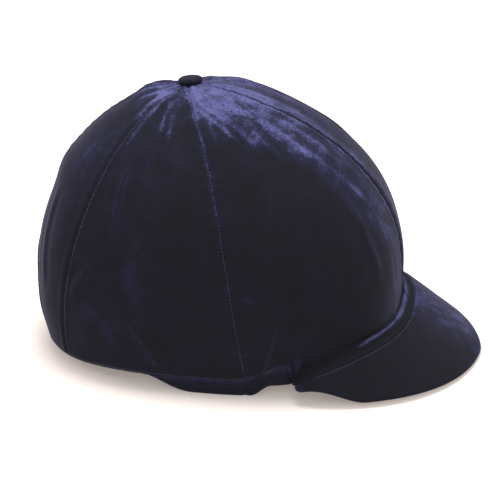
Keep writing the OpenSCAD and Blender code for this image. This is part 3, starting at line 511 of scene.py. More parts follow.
def knit(name, first, second, pitch, sheen):
    """Knitted wicking cloth, brushed: rows of small loops on a cushion that has no flat cut."""
    made, tree, place = new_material(name)
    here = place.outputs["Object"]
    loops = add(tree, "ShaderNodeTexVoronoi", {
        "Vector": here, "Scale": 1000 / pitch, "Randomness": 0.35,
    }, feature="F1")
    fluff = add(tree, "ShaderNodeTexNoise", {
        "Vector": here, "Scale": 500.0, "Detail": 4.0, "Roughness": 0.65,
    })
    worn = add(tree, "ShaderNodeTexNoise", {"Vector": here, "Scale": 40.0, "Detail": 2.0})
    both = maths(tree, "MULTIPLY_ADD", loops.outputs["Distance"], 0.6, worn.outputs["Fac"])
    shade = add(tree, "ShaderNodeValToRGB", {"Fac": both}, stops=[(0.3, first), (1.0, second)])
    raised = add(tree, "ShaderNodeBump", {
        "Height": loops.outputs["Distance"], "Strength": 0.5, "Distance": 0.0004,
    })
    raised = add(tree, "ShaderNodeBump", {
        "Height": fluff.outputs["Fac"], "Strength": 0.3, "Distance": 0.0003,
        "Normal": raised.outputs["Normal"],
    })
    surface(tree, {
        "Base Color": shade.outputs["Color"], "Roughness": 0.9, "Specular IOR Level": 0.2,
        "Sheen Weight": sheen, "Sheen Roughness": 0.5, "Normal": raised.outputs["Normal"],
    })
    return made


def grained_leather():
    """Coated leather cloth, embossed: pebbles about 1.2 mm wide with a soft gloss on their tops."""
    made, tree, place = new_material("leather cloth, embossed")
    here = place.outputs["Object"]
    pebble = add(tree, "ShaderNodeTexVoronoi", {"Vector": here, "Scale": 820.0}, feature="SMOOTH_F1")
    patch = add(tree, "ShaderNodeTexNoise", {"Vector": here, "Scale": 120.0, "Detail": 3.0})
    shade = add(tree, "ShaderNodeValToRGB", {"Fac": patch.outputs["Fac"]}, stops=[
        (0.35, "#17171a"), (0.7, "#232327"),
    ])
    gloss = add(tree, "ShaderNodeMapRange", {
        "Value": pebble.outputs["Distance"], "To Min": 0.38, "To Max": 0.7,
    })
    raised = add(tree, "ShaderNodeBump", {
        "Height": pebble.outputs["Distance"], "Strength": 0.5, "Distance": 0.0003,
    }, invert=True)
    surface(tree, {
        "Base Color": shade.outputs["Color"], "Roughness": gloss.outputs["Result"], "Specular IOR Level": 0.4,
        "Normal": raised.outputs["Normal"],
    })
    return made


velvet = velvet_pile("navy cotton velvet, woven and cut pile", 1.0)
velvet_trim = velvet_pile("navy cotton velvet, stretched over trim", 0.8)
backing = woven("velvet backing, plain weave cotton", "#1d1d2a", "#33334a", 0.9, 0.9, 0.85, 0.1)
lining = woven("peak lining, satin weave", "#15151a", "#2a2a33", 1.1, 1.1, 0.5, 0.06, 0.2, 0.4)
webbing = woven("polyester webbing, woven flat", "#101013", "#2b2b31", 1.5, 1.2, 0.62, 0.25)
elastic_weave = woven("covered elastic, braided", "#a9a9a4", "#dddcd6", 1.4, 1.6, 0.7, 0.25)
thread = moulded("polyester thread, spun and dyed navy", "#38384e", "#585878", 0.3, 0.05, 0.6, 0.8, 0.3)
black_thread = moulded(
    "polyester thread, spun and dyed black", "#26262b", "#3d3d45", 0.3, 0.05, 0.55, 0.75, 0.3,
)
pad_cloth = knit("wicking pad cloth, knitted and brushed", "#1b1b20", "#3a3a42", 1.3, 0.35)
leather = grained_leather()
foam = bead_foam()
shell_skin = moulded("glass fibre shell, lacquered", "#131317", "#1c1c22", 3.0, 0.02, 0.22, 0.38)
edge_rubber = moulded("edge rubber, extruded", "#121213", "#1d1d1f", 0.5, 0.04, 0.62, 0.8, 0.3)
nylon = moulded("nylon, injection moulded", "#141416", "#1f1f22", 0.4, 0.03, 0.42, 0.58, 0.45)
acetal = moulded("acetal buckle, injection moulded", "#111114", "#1b1b1e", 0.35, 0.02, 0.3, 0.42)
board_stuff = moulded("peak board, pressed fibre", "#5c4a38", "#7a6650", 0.8, 0.08, 0.75, 0.9, 0.3)
nickel = moulded("nickel plated steel, pressed", "#8c8a86", "#a8a6a1", 0.25, 0.008, 0.2, 0.36, 0.5, 1.0)
zinc = moulded("zinc plated steel, pressed", "#7d7f82", "#a0a2a5", 0.25, 0.01, 0.3, 0.45, 0.5, 1.0)
hook_tape = knit("hook tape, woven hooks", "#101012", "#34343a", 0.7, 0.1)


# ---------- the velvet cover ----------

# Creases of the worn cover. Each runs from one angle round and down to another, and has a height and
# a half width.
CREASES = [
    (81, 85, 76, 80, 1.2, 2.4), (72, 106, 67, 87, 1.6, 4.0), (62, 104, 59, 98, 0.9, 2.2),
    (124, 84, 116, 75, 1.5, 4.5), (119, 44, 113, 53, 0.8, 3.5), (111, 42, 107, 53, 0.7, 3.0),
    (109, 15, 98, 32, 1.3, 3.5), (66, 18, 50, 40, 0.9, 3.5), (50, 16, 30, 44, 0.9, 4.0),
    (88, 20, 86, 36, 0.6, 2.5), (150, 60, 146, 84, 0.9, 4.0), (165, 80, 158, 100, 1.2, 4.0),
    (28, 62, 24, 80, 0.7, 4.0), (46, 78, 50, 96, 0.9, 4.0), (103, 92, 97, 103, 1.0, 2.6),
    (64, 100, 63, 110, 1.1, 1.8), (61, 99, 60, 109, 1.0, 1.6),
    (-78, 84, -74, 78, 1.2, 2.6), (-70, 107, -66, 90, 1.5, 4.0), (-120, 86, -113, 76, 1.4, 4.2),
    (-105, 14, -94, 30, 1.1, 3.5), (-60, 18, -44, 38, 0.9, 3.5), (-148, 62, -143, 82, 0.9, 4.0),
    (-30, 20, -20, 46, 0.8, 4.0), (-170, 16, -160, 34, 1.0, 3.5), (-96, 95, -101, 105, 1.0, 3.5),
]
CREASE_LINES = [
    (dome(a, b, 0), dome(c, d, 0), height, width) for a, b, c, d, height, width in CREASES
]


def crease_relief(point):
    """How far the creases raise the velvet at a point, in millimetres."""
    total = 0.0
    for start, end, height, width in CREASE_LINES:
        way = end - start
        share = (point - start).dot(way) / way.length_squared
        if -0.3 < share < 1.3:
            near = (point - start - way * share).length
            if near < 4 * width:
                fade = smooth((share + 0.3) / 0.4) * smooth((1.3 - share) / 0.5)
                beside = 0.45 * bump_at(near - 1.8 * width, width)
                total += height * fade * (bump_at(near, width) - beside)
    return total


# Where the cloth stands full: its angle round and down, its height, and its half widths in degrees.
FULL_PLACES = [
    (-52, 18, 3.0, 24, 9), (-85, 11, 1.6, 20, 6), (196, 10, 2.4, 26, 4.5), (178, 42, 1.9, 22, 14),
    (186, 14, 2.4, 30, 5), (171, 50, 2.6, 20, 6), (-6, 68, 2.0, 24, 14),
]


def turned(angle, centre):
    """How far an angle is from another, in degrees, over the nape too."""
    return (angle - centre + 180) % 360 - 180


def at_front_seam(angle, down):
    """1 in the cloth round the front seam, below the gathers, and 0 away from it."""
    return smooth((34 - fold(angle)) / 12) * smooth((down - 6) / 8)


def velvet_relief(point, angle, down, from_seam, along):
    """How far the cover's outside stands off the plain dome, in millimetres."""
    turn = math.radians(angle)
    # The seam pulls the pile in, with a soft roll beside it and small puckers from the stitches.
    groove = mix(1.25, 1.7, at_front_seam(angle, down))
    relief = -groove * bump_at(from_seam, groove) + 0.45 * bump_at(from_seam - 4, 2.4)
    waver = 1.5 * noise.noise(point / 20)
    relief += 0.3 * math.exp(-from_seam / 6) * math.sin(2 * math.pi * along / 8.5 + waver)
    # Gathers run in under the button.
    ripple = noise.noise(Vector((math.cos(turn) * 3.1, math.sin(turn) * 3.1, 4.7)))
    relief += 1.5 * ripple * bump_at(down - 7, 7)
    for at, low, height, wide, deep in FULL_PLACES:
        relief += height * bump_at(down - low, deep) * bump_at(turned(angle, at), wide)
    # The shell under the cloth isn't felt everywhere.
    relief += 0.8 * noise.noise(point / 38 + Vector((3, 7, 1))) * smooth(down / 20)
    return relief + crease_relief(point) * smooth(from_seam / 3)


# Single strokes of crushed pile, some of them painted highlights on the ridges of creases: angle round and
# down at both ends, how pale, and their half width.
STROKES = [
    (80, 21, 67, 33, 0.6, 1.6), (72, 20, 58, 36, 0.4, 2.0), (76, 26, 76, 34, 0.3, 1.6),
    (53, 34, 48, 42, 0.35, 3.0), (38, 30, 33, 42, 0.45, 2.4), (33, 42, 17, 60, 0.5, 3.0),
    (26, 30, 17, 46, 0.35, 2.5), (48, 22, 38, 34, 0.4, 2.4), (99, 17, 98, 30, 0.6, 1.8),
    (94, 22, 94, 32, 0.4, 2.2), (109, 18, 114, 34, 0.45, 2.0), (104, 10, 112, 22, 0.5, 2.0),
    (111, 46, 111, 58, 0.22, 1.6), (108, 46, 108, 56, 0.18, 1.4), (113, 93, 108, 97, 0.16, 3.0),
    (78, 81, 75, 82, 0.4, 1.1), (14, 66, 12, 84, 0.3, 2.2), (9, 72, 7, 86, 0.22, 1.6),
    (150, 60, 146, 84, 0.2, 3.5), (-60, 20, -38, 40, 0.5, 3.0), (-84, 20, -70, 34, 0.45, 2.0),
    (-98, 16, -100, 30, 0.45, 2.0), (-30, 44, -18, 60, 0.4, 3.0), (-112, 18, -117, 34, 0.4, 2.0),
    (-150, 20, -152, 40, 0.3, 2.6), (-110, 50, -111, 62, 0.2, 2.0), (102, 93, 97, 102, 0.4, 1.5),
    (72, 103, 69, 91, 0.4, 1.2), (61, 100, 60, 107, 0.5, 1.3), (64, 101, 63, 107, 0.4, 1.3),
    (128, 10, 120, 24, 0.6, 2.4), (140, 9, 150, 16, 0.5, 2.2), (118, 8, 124, 16, 0.6, 2.0),
    (165, 8, 172, 16, 0.4, 3.0), (131, 30, 135, 52, 0.2, 3.5), (141, 40, 139, 72, 0.22, 4.0),
    (120, 88, 108, 93, 0.16, 3.5), (104, 72, 101, 86, 0.1, 6.0),
]
STROKE_LINES = [
    (dome(a, b, 0), dome(c, d, 0), pale_and_lit, width) for a, b, c, d, pale_and_lit, width in STROKES
]


def stroked(point):
    """How pale single strokes make the pile at a point, from 0 to about 1: crushed pile, and painted
    highlights along creases.
    """
    total = 0.0
    for start, end, pale_and_lit, width in STROKE_LINES:
        way = end - start
        share = (point - start).dot(way) / way.length_squared
        if -0.4 < share < 1.4:
            near = (point - start - way * share).length
            if near < 3 * width:
                fade = smooth((share + 0.4) / 0.6) * smooth((1.4 - share) / 0.6)
                total += pale_and_lit * fade * bump_at(near, width)
    return total


def nap_and_light_at(point, angle, down, from_seam):
    """How pale the pile is made at a point: crushed pile and painted light. The crown and the cloth beside
    the front seam get a painted highlight, strokes add crushed pile and painted crease highlights, the rolls
    beside the seams get painted highlights, and the front seam's groove gets painted shade."""
    at = fold(angle)
    # Painted highlight on the crown, where the top lamp falls, with crushed pile in it: it reaches lower
    # towards the front, is dimmer towards the rear and on the left-hand panels, and paler still just under
    # the button at the front.
    foot = 41 - 0.37 * max(0, at - 45) + 1.5 * max(0, 45 - at)
    foot = mix(foot, 17, smooth((at - 82) / 10))
    wander = 7 * noise.noise(point / 13) + 5 * noise.noise(point / 5)
    crown_nap_and_highlight = smooth((foot + 7 - down + wander) / 22) * mix(1.0, 0.42, smooth((down - 10) / 38))
    crown_nap_and_highlight *= mix(1.0, 0.75, smooth((at - 88) / 25)) * (1.0 if angle > 0 else 0.6)
    patch = 0.72 + 0.55 * noise.noise(point / 11) + 0.3 * bump_at(down - 13, 9) * smooth((88 - at) / 12)
    front = at_front_seam(angle, down)
    # Painted highlights on the rolls beside the seams, further out and paler beside the front seam.
    rim_highlight = 0.5 * bump_at(from_seam - 1.3, 0.8) * (1 - front) + 0.75 * bump_at(from_seam - 3.2, 1.1) * front
    # Tufts stand pale along the ear seam, most of all over the temple.
    ear = smooth((14 - abs(at - ear_seam(down))) / 4) * smooth((down - 12) / 5)
    ear *= 1 - 0.75 * smooth((down - 40) / 30)
    tufts = ear * bump_at(from_seam - 0.2, 0.8) * (0.45 + 0.8 * noise.noise(point / 1.7))
    fleck_and_light = 0.13 + 0.14 * noise.noise(point / 16)
    # Painted light: paler towards the rear and towards the top.
    fleck_and_light += 0.08 * smooth((at - 88) / 20) + 0.12 * smooth((75 - down) / 50)
    total = crown_nap_and_highlight * patch + stroked(point) + rim_highlight * (0.25 + 0.6 * crown_nap_and_highlight) + max(0.0, tufts) + fleck_and_light
    # Painted shade in the groove of the front seam.
    return max(0.02, min(1.3, total * (1 - 0.85 * front * bump_at(from_seam, 1.5))))


def panel_place(near, far, mirrored, hem_top):
    """The place function of a panel between two seams, given as angles by how far down they are."""
    def place(u, v):
        if mirrored:
            u = 1 - u
        # The columns crowd towards the seams.
        share = mix(u, (1 - math.cos(math.pi * u)) / 2, 0.65)
        down = mix(1.6, hem_top(mix(near(90), far(90), share)), v)
        start, end = near(down), far(down)
        angle = mix(start, end, share)
        down = mix(1.6, hem_top(angle), v)
        base = dome(angle, down, 0)
        wide = (dome(end, down, 0) - dome(start, down, 0)).length * 1.03
        from_seam = min(share, 1 - share) * wide
        along = 2.4 * down
        side = -angle if mirrored else angle
        seen = Vector((-base.x, base.y, base.z)) if mirrored else base
        relief = velvet_relief(seen, side, down, from_seam, along)
        # It lies flat where the hem meets it, and rolls in at its foot.
        over = (hem_top(angle) - down) * 2.6
        rolled = mix(0.7, 0.15, hem_shown(angle)) * (1 - smooth(over / 2.2))
        relief = relief * mix(0.3, 1, smooth(over / 8)) - rolled
        point = base + dome_normal(angle, down) * relief
        if mirrored:
            point.x = -point.x
        return point, ((share - 0.5) * wide, along), nap_and_light_at(seen, side, down, from_seam)
    return place


def hem_shown(angle):
    """Where the hem's seam shows, from 0 to 1: over the ear lobes. Elsewhere the panels hang over it."""
    at = fold(angle)
    return smooth((at - 61) / 5) * smooth((103 - at) / 6)


def panel_foot(angle):
    """How high the panels' cloth ends."""
    past = LOBE_AT - fold(angle)
    line = HEM_SEAM + HEM_LIFT * smooth((past - DIP_FRONT) / DIP_FRONT_W)
    return mix(cloth_edge(angle) + 0.1, line, hem_shown(angle))


def hem_top(angle):
    return dome_down(panel_foot(angle) + 0.2, 0)


def left_of_front_seam(down):
    return -front_seam(down)


PANELS = {
    # Each panel's seams, and the flat cut's width, length and area in metres.
    "front": (front_seam, ear_seam, (0.186, 0.262), 0.033),
    "side": (ear_seam, back_seam, (0.124, 0.248), 0.0217),
    "rear": (back_seam, lambda down: 180.0, (0.122, 0.256), 0.0205),
}

for hand in ("right", "left"):
    for part, (near, far, flat, area) in PANELS.items():
        if part == "front" and hand == "left":
            near = left_of_front_seam
        columns = 96 if part == "front" else 72
        panel = finish_piece(
            f"velvet_{part}_{hand}", laid_grid(columns, 124, panel_place(near, far, hand == "left", hem_top)),
            [velvet, backing], "cover", [f"panel_{part}_{hand}"],
        )
        thicken(panel, 1.3, 1)


def seam_points(seam, mirrored, lift, start=10, end=104):
    """Points along a seam of the cover, raised out of its groove."""
    points = []
    for step in range(start, end):
        angle = seam(step)
        point = dome(angle, step, 0) + dome_normal(angle, step) * lift
        if point.z < panel_foot(angle) + 2:
            break
        points.append(Vector((-point.x, point.y, point.z)) if mirrored else point)
    return points


def from_middle(point):
    return (point - Vector((0, SHIFT_Y + 10, WAIST))).normalized()


rows = bmesh.new()
for mirrored in (False, True):
    stitch_row(rows, seam_points(back_seam, mirrored, -0.85), 2.6, 1.9, 0.55, from_middle)
    # The ear seam's thread stands out of the pile, most of all over the temple.
    stitch_row(rows, seam_points(ear_seam, mirrored, -0.3, 14, 52), 2.6, 1.7, 0.9, from_middle)
    stitch_row(rows, seam_points(ear_seam, mirrored, -0.7, 52), 2.6, 2.0, 0.6, from_middle)
for seam in (front_seam, lambda down: 180.0):
    stitch_row(rows, seam_points(seam, False, -0.75), 2.6, 1.7, 0.6, from_middle)
finish_piece("seam_stitches", rows, thread, "cover", ())

# The hem's section, from the stitch line down the outside, under the shell and round the elastic. Each
# corner is its depth, its height over the lower edge, and its share of the way up to the stitch line.
HEM_SECTION = [
    (1.6, 2.5, 1.0), (1.5, 0.6, 1.0), (0.1, 0.2, 1.0), (-0.2, -0.6, 1.0), (-0.2, 0, 0.6), (-0.2, 0, 0.3),
    (0.0, 0.9, 0.1), (0.4, 0.75, 0.02), (1.0, 0.25, 0), (2.0, 0.02, 0), (4.0, 0, 0), (6.5, 0, 0), (9.0, 0, 0),
    (11.5, 0, 0), (13.8, 0.02, 0), (15.6, 0.3, 0), (16.8, 1.5, 0), (17.2, 3.3, 0), (16.6, 5.2, 0),
    (14.9, 6.3, 0), (13.0, 6.0, 0), (11.8, 4.6, 0), (11.6, 3.0, 0),
]


def hem_place(u, v):
    angle = 360 * u
    spot = v * (len(HEM_SECTION) - 1)
    first = min(int(spot), len(HEM_SECTION) - 2)
    depth, rise, share = (
        mix(a, b, spot - first) for a, b in zip(HEM_SECTION[first], HEM_SECTION[first + 1])
    )
    low, foot, shown = edge_line(angle), panel_foot(angle), hem_shown(angle)
    turn = math.radians(angle)
    # The elastic draws the turned-under cloth into gathers, about 8 mm apart.
    ring = Vector((math.cos(turn), math.sin(turn), 0))
    gather = max(-1.0, math.sin(95 * turn + 3 * noise.noise(ring * 4)) * (0.7 + 0.5 * noise.noise(ring * 9)))
    drawn = smooth((depth - 2) / 11)
    pucker = noise.noise(Vector((ring.x * 26, ring.y * 26, share)))
    height = mix(cloth_edge(angle), low, max(drawn, share))
    height += rise * mix(1, shown, share) + share * (foot - low)
    height += drawn * 0.55 * (1 + gather) * (1 if v < 0.65 else 0.3)
    if v < 0.4:
        depth = mix(max(depth, 1.9), depth, shown)
    # The ear seam runs on across the hem, as a join in it.
    from_join = abs(fold(angle) - ear_seam(107)) * 2.2
    depth += (0.25 * pucker * smooth(share * 4) * shown + 0.9 * bump_at(from_join, 1.3)) * (1 - drawn)
    depth -= 0.5 * drawn * gather
    point = dome(angle, dome_down(height, max(depth, 0)), depth)
    # Painted highlights: pale bands along the top of the hem over the ear lobes, one of them scalloped, and a
    # pale line beside the join.
    scalloped_highlight = 0.5 + 0.5 * math.sin(angle * 2.4)
    pale_and_lit = 0.3 + shown * (0.3 * bump_at(share - 0.97, 0.05) + 0.12 * scalloped_highlight * bump_at(share - 0.8, 0.12))
    pale_and_lit += 0.4 * bump_at(from_join - 1.6, 0.9) * (0.6 + 0.8 * pucker)
    return point, (angle * 2.2, v * 60), max(0.0, pale_and_lit + 0.1 * pucker)


hem_mesh = laid_grid(760, 42, hem_place, closed=True)
hem = finish_piece("velvet_hem", hem_mesh, [velvet_trim, backing], "cover", ["hem_band"])
thicken(hem, 1.1, 1)


def elastic_line(v):
    angle = 360 * v
    down = dome_down(edge_line(angle) + ELASTIC_HEIGHT, ELASTIC_DEPTH)
    out = dome_normal(angle, down, ELASTIC_DEPTH)
    out = Vector((out.x, out.y, 0)).normalized()
    return dome(angle, down, ELASTIC_DEPTH), out, Vector((0, 0, 1))


finish_piece(
    "hem_elastic_cord", tube(10, 420, elastic_line, lambda u, v: ELASTIC_R - 0.1),
    elastic_weave, "cover", ["hem_elastic"],
)

rows = bmesh.new()
for start in (66, 263):
    line = [
        dome(a, dome_down(panel_foot(a) - 1.0, 0), 0) for a in range(start, start + 32)
    ]
    stitch_row(rows, line, 2.6, 2.3, 0.45, from_middle)
finish_piece("hem_stitches", rows, thread, "cover", ())


# ---------- the covered button ----------

def covered_button():
    """Velvet over a domed metal button: a spun half section, dented and drawn in at its rim."""
    low = -0.2
    profile = [
        (0.9, 0.0), (5.0, 0.0), (7.4, 0.1), (8.7, 0.7), (9.3, 1.8), (9.3, 3.0), (8.8, 4.1), (7.6, 5.0),
        (5.8, 5.6), (3.7, 5.95), (1.8, 6.1), (0.0, 6.15),
    ]
    mesh = bmesh.new()
    lean = Matrix.Rotation(-math.atan(CROWN_TILT), 4, "X")
    lean = Matrix.Translation(Vector((0, CROWN_BACK + SHIFT_Y, TOP)) * MM) @ lean
    corners = [mesh.verts.new((r * MM, 0, (low + z) * MM)) for r, z in profile]
    for one, two in zip(corners, corners[1:]):
        mesh.edges.new((one, two))
    bmesh.ops.spin(
        mesh, geom=mesh.verts[:] + mesh.edges[:], cent=(0, 0, 0), axis=(0, 0, 1),
        angle=2 * math.pi, steps=72, use_merge=True,
    )
    bmesh.ops.remove_doubles(mesh, verts=mesh.verts, dist=0.00001)
    nap_and_painted_light = mesh.verts.layers.float.new("nap_and_painted_light")
    for corner in mesh.verts:
        x, y, z = corner.co.x / MM, corner.co.y / MM, corner.co.z / MM - low
        turn, far = math.atan2(y, x), math.hypot(x, y)
        drawn = 0.22 * math.sin(17 * turn) * smooth((far - 5) / 4)
        dent = 0.7 * bump_at(math.hypot(x + 2.5, y + 1), 3.4)
        if z > 2.5:
            z -= dent
        z += 0.25 * noise.noise(Vector((x, y, 0)) / 3.5) * smooth(z / 3)
        corner.co = lean @ (Vector((x * (1 + drawn / 30), y * (1 + drawn / 30), low + max(z, 0))) * MM)
        # The nap value grows towards the top of the button, so its top is paler.
        corner[nap_and_painted_light] = 0.25 + 0.35 * smooth(z / 5) * (0.6 + noise.noise(Vector((x, y, 5)) / 4))
    bmesh.ops.recalc_face_normals(mesh, faces=mesh.faces)
    made = finish_piece("velvet_button", mesh, velvet_trim, "cover", ["crown_button"])
    made.modifiers.new("Smooth", "SUBSURF").levels = 1
    made.modifiers["Smooth"].render_levels = 1
    return made


covered_button()


# ---------- the peak ----------

def peak_turn(angle):
    """How thick the peak still is, as a share, where its ends round off."""
    return math.sqrt(max(0.0, 1 - max(0.0, (abs(angle) - PEAK_END) / 1.3) ** 2))


def peak_top_place(u, v):
    """The velvet over the peak: from the root over the board and round its edge to the underside."""
    angle = mix(-PEAK_END - 1.3, PEAK_END + 1.3, u)
    wide = peak_width(angle)
    high = COVER_HIGH * peak_turn(angle)
    turned = max(0.3, 1 - EDGE_TURN / wide)
    if v < 0.04:
        # The seam allowance turns down into the root.
        share, off, past, along = 0.0, mix(-0.5, 0.92, v / 0.04) * high, -0.2, 0.0
    elif v < 0.76:
        share = (v - 0.04) / 0.72
        off, past, along = high, 0.0, share * wide
        far = share * wide
        lift = 0.35 * noise.noise(peak_middle(angle, share) / 16) * smooth(far / 8)
        lift -= 0.5 * bump_at(far, 1.4) - 0.25 * bump_at(far - 4, 2.5)
        lift += 0.12 * math.exp(-far / 5) * math.sin(angle * 2.6)
        off += lift * (1 if abs(angle) < PEAK_END else 0)
    elif v < 0.88:
        turn = (v - 0.76) / 0.12 * math.pi
        share, off, past, along = 1.0, high * math.cos(turn), high * math.sin(turn), wide + turn * high
    else:
        back = (v - 0.88) / 0.12
        share, off, past, along = mix(1, turned, back), -high, 0.0, wide + 7 + 6 * back
        off -= 0.2 * back * (0.5 + 0.5 * math.sin(angle * 4.2))
    point = peak_point(angle, share, off, past)
    # Painted light: the left-hand side of a line from the root to the tip, where the lamp falls, is painted
    # paler, with painted highlights along the edges and round the front edge; the right-hand end is paler,
    # and the part turned under is painted at half, as shade under the peak.
    side = smooth((12 - angle + 6 * noise.noise(point / 12)) / 18)
    rim_highlight = 0.35 * bump_at(share * wide - 1.0, 0.8) if v < 0.76 else 0.0
    edge = 0.25 * bump_at(v - 0.79, 0.035)
    corner = 0.5 * smooth((angle - PEAK_END + 2) / 3)
    pale_and_lit = mix(0.14, 0.78, side) + (0.06 + 0.25 * side) * noise.noise(point / 9)
    pale_and_lit += (rim_highlight + edge) * (0.3 + side) + corner
    return point, (angle * 2.4, along), min(1.0, max(0.03, pale_and_lit * (1 if v < 0.86 else 0.5)))


top = finish_piece(
    "velvet_peak_top", laid_grid(220, 88, peak_top_place), [velvet_trim, backing], "cover",
    ["peak_top_cover"],
)
thicken(top, 0.9, 1)


def peak_lining_place(u, v):
    angle = mix(PEAK_END + 0.6, -PEAK_END - 0.6, u)
    wide = peak_width(angle)
    share = v * (max(0.3, 1 - EDGE_TURN / wide) + 0.5 / wide)
    sag = 0.25 * math.sin(math.pi * v) * (1 + noise.noise(Vector((angle / 9, v * 4, 0))))
    off = -(COVER_LOW + LINING_T + sag) * peak_turn(angle)
    return peak_point(angle, share, off), (angle * 2.4, share * wide), 0.0


under = finish_piece(
    "satin_peak_lining", laid_grid(150, 40, peak_lining_place), lining, "cover",
    ["peak_lining"],
)
thicken(under, 0.6)


# The welt's section: how far each corner is from the cover, 0, to the root seam, 1, its height over the
# root at the brow, and its height towards the ends, where the roll sinks to a flat fillet.
WELT_SECTION = [
    (-0.04, 1.0, 1.0), (-0.03, 3.4, 7.0), (0.05, 5.0, 4.6), (0.16, 5.9, 3.1), (0.29, 6.1, 2.3),
    (0.40, 5.4, 1.9), (0.49, 3.7, 1.6), (0.62, 2.2, 1.4), (0.80, 1.5, 1.3), (0.96, 1.3, 1.2),
    (1.02, 0.2, 0.2), (0.9, -1.6, -1.0), (0.6, -2.8, -1.4), (0.25, -3.0, -1.4), (0.0, -1.5, -0.6),
    (-0.04, 1.0, 1.0),
]


def welt_place(u, v):
    """The soft roll along the root, from one end of the peak to the other."""
    angle = mix(-PEAK_END - 1.2, PEAK_END + 1.2, v)
    end = math.sqrt(max(0.0, 1 - max(0.0, (abs(angle) - PEAK_END + 2) / 3.2) ** 2))
    sunk = smooth((abs(angle) - 33) / 14)
    out, full, flat = through(WELT_SECTION, u)
    # The cloth is folded in on itself along the roll, and the folds wander.
    crumple = noise.noise(Vector((u * 7, angle / 15, 2))) + 0.5 * noise.noise(Vector((u * 19, angle / 6, 5)))
    upper = smooth((full - 1.2) / 3)
    full += 0.9 * crumple * upper + 1.1 * noise.noise(Vector((angle / 10, 0, 8))) * upper
    rise = mix(full, flat, sunk) * end
    seam = root_at(angle)
    high = root_line(angle) + rise
    wall = dome(angle, dome_down(high, 0), 0)
    point = wall.lerp(Vector((seam.x, seam.y + SHIFT_Y, high)), mix(0.5, out + 0.04 * crumple * upper, end))
    # Painted light: a painted highlight along the top of the roll, which ends where the roll sinks, and the
    # roll's upper side painted paler towards its left-hand end.
    wide = mix(0.09, 0.17, smooth((18 - abs(angle)) / 14))
    ridge_highlight = bump_at(out - 0.37, wide) * smooth((full - 2) / 2) * (1 - smooth((abs(angle) - 37) / 3))
    far = smooth((12 - angle) / 18) * upper
    pale_and_lit = 0.12 + ridge_highlight * (1.15 + 0.4 * crumple) + far * (0.4 + 0.4 * crumple)
    return point, (u * 26, angle * 2.3), min(1.3, max(0.02, pale_and_lit))


welt_mesh = laid_grid(48, 260, welt_place, closed=True)
bmesh.ops.recalc_face_normals(welt_mesh, faces=welt_mesh.faces)
welt = finish_piece("velvet_welt", welt_mesh, velvet_trim, "cover", ["peak_welt"])

rows = bmesh.new()
steps = [mix(-PEAK_END, PEAK_END, k / 160) for k in range(161)]
stitch_row(
    rows, [peak_point(a, 0.7 / peak_width(a), COVER_HIGH - 0.25) for a in steps[6:-6]], 2.2, 2.0, 0.5,
    lambda p: Vector((0, 0, 1)),
)
stitch_row(
    rows, [peak_point(a, 1 - (EDGE_TURN - 1.2) / peak_width(a), -COVER_HIGH - 0.25) for a in steps[14:-14]],
    2.8, 2.0, 0.5, lambda p: Vector((0, 0, -1)),
)
finish_piece("peak_stitches", rows, thread, "cover", ())


# ---------- the moulded skull cap ----------

merged_copy("outer_shell", shell_skin)
merged_copy("impact_liner", foam, 25)
merged_copy("rim_beading", edge_rubber, 40)

for node, finish in {
    "strap_hangers": nylon, "harness_rivets": nickel, "rivet_washers": zinc, "pad_hook_tapes": hook_tape,
    "ear_slider_left": nylon, "ear_slider_right": nylon, "buckle_tongue": acetal, "buckle_socket": acetal,
    "button_back": zinc, "peak_board": board_stuff,
}.items():
    data = frame["nodes"][node].data
    data.materials.clear()
    data.materials.append(finish)


# ---------- comfort padding ----------

def swell(mesh, voxel, cap, pressure=4.0):
    """Fills a padded form like a cushion: it is remeshed and blown up as cloth for 20 frames, and each
    point's way is held to a cap."""
    data = bpy.data.meshes.new("form")
    mesh.to_mesh(data)
    mesh.free()
    form = bpy.data.objects.new("form", data)
    scene = bpy.context.scene
    scene.collection.objects.link(form)
    remesh = form.modifiers.new("Remesh", "REMESH")
    remesh.mode = "VOXEL"
    remesh.voxel_size = voxel * MM
    graph = bpy.context.evaluated_depsgraph_get()
    graph.update()
    start = bpy.data.meshes.new_from_object(form.evaluated_get(graph))
    form.modifiers.clear()
    form.data = start
    before = [corner.co.copy() for corner in start.vertices]
    cloth = form.modifiers.new("Cloth", "CLOTH")
    cloth.settings.use_pressure = True
    cloth.settings.uniform_pressure_force = pressure
    cloth.settings.effector_weights.gravity = 0
    cloth.settings.quality = 5
    cloth.settings.mass = 0.2
    cloth.settings.tension_stiffness = 18
    cloth.settings.compression_stiffness = 18
    cloth.collision_settings.use_collision = False
    for number in range(1, 21):
        scene.frame_set(number)
    graph = bpy.context.evaluated_depsgraph_get()
    blown = bpy.data.meshes.new_from_object(form.evaluated_get(graph))
    form.modifiers.clear()
    for corner, old, seen in zip(start.vertices, before, blown.vertices):
        way = seen.co - old
        corner.co = old + way * min(1.0, cap * MM / max(way.length, 1e-9))
    scene.frame_set(1)
    filled = bmesh.new()
    filled.from_mesh(start)
    bpy.data.objects.remove(form)
    bmesh.ops.smooth_vert(
        filled, verts=filled.verts, factor=0.5, use_axis_x=True, use_axis_y=True, use_axis_z=True,
    )
    bmesh.ops.subdivide_edges(filled, edges=filled.edges, cuts=1, use_grid_fill=True, smooth=1.0)
    return filled


def around(point):
    """The angle round the head at a point in metres, from the brow over the right ear."""
    return math.degrees(math.atan2(-point.x / MM / HALF_W, -(point.y / MM - SHIFT_Y) / HALF_L)) % 360


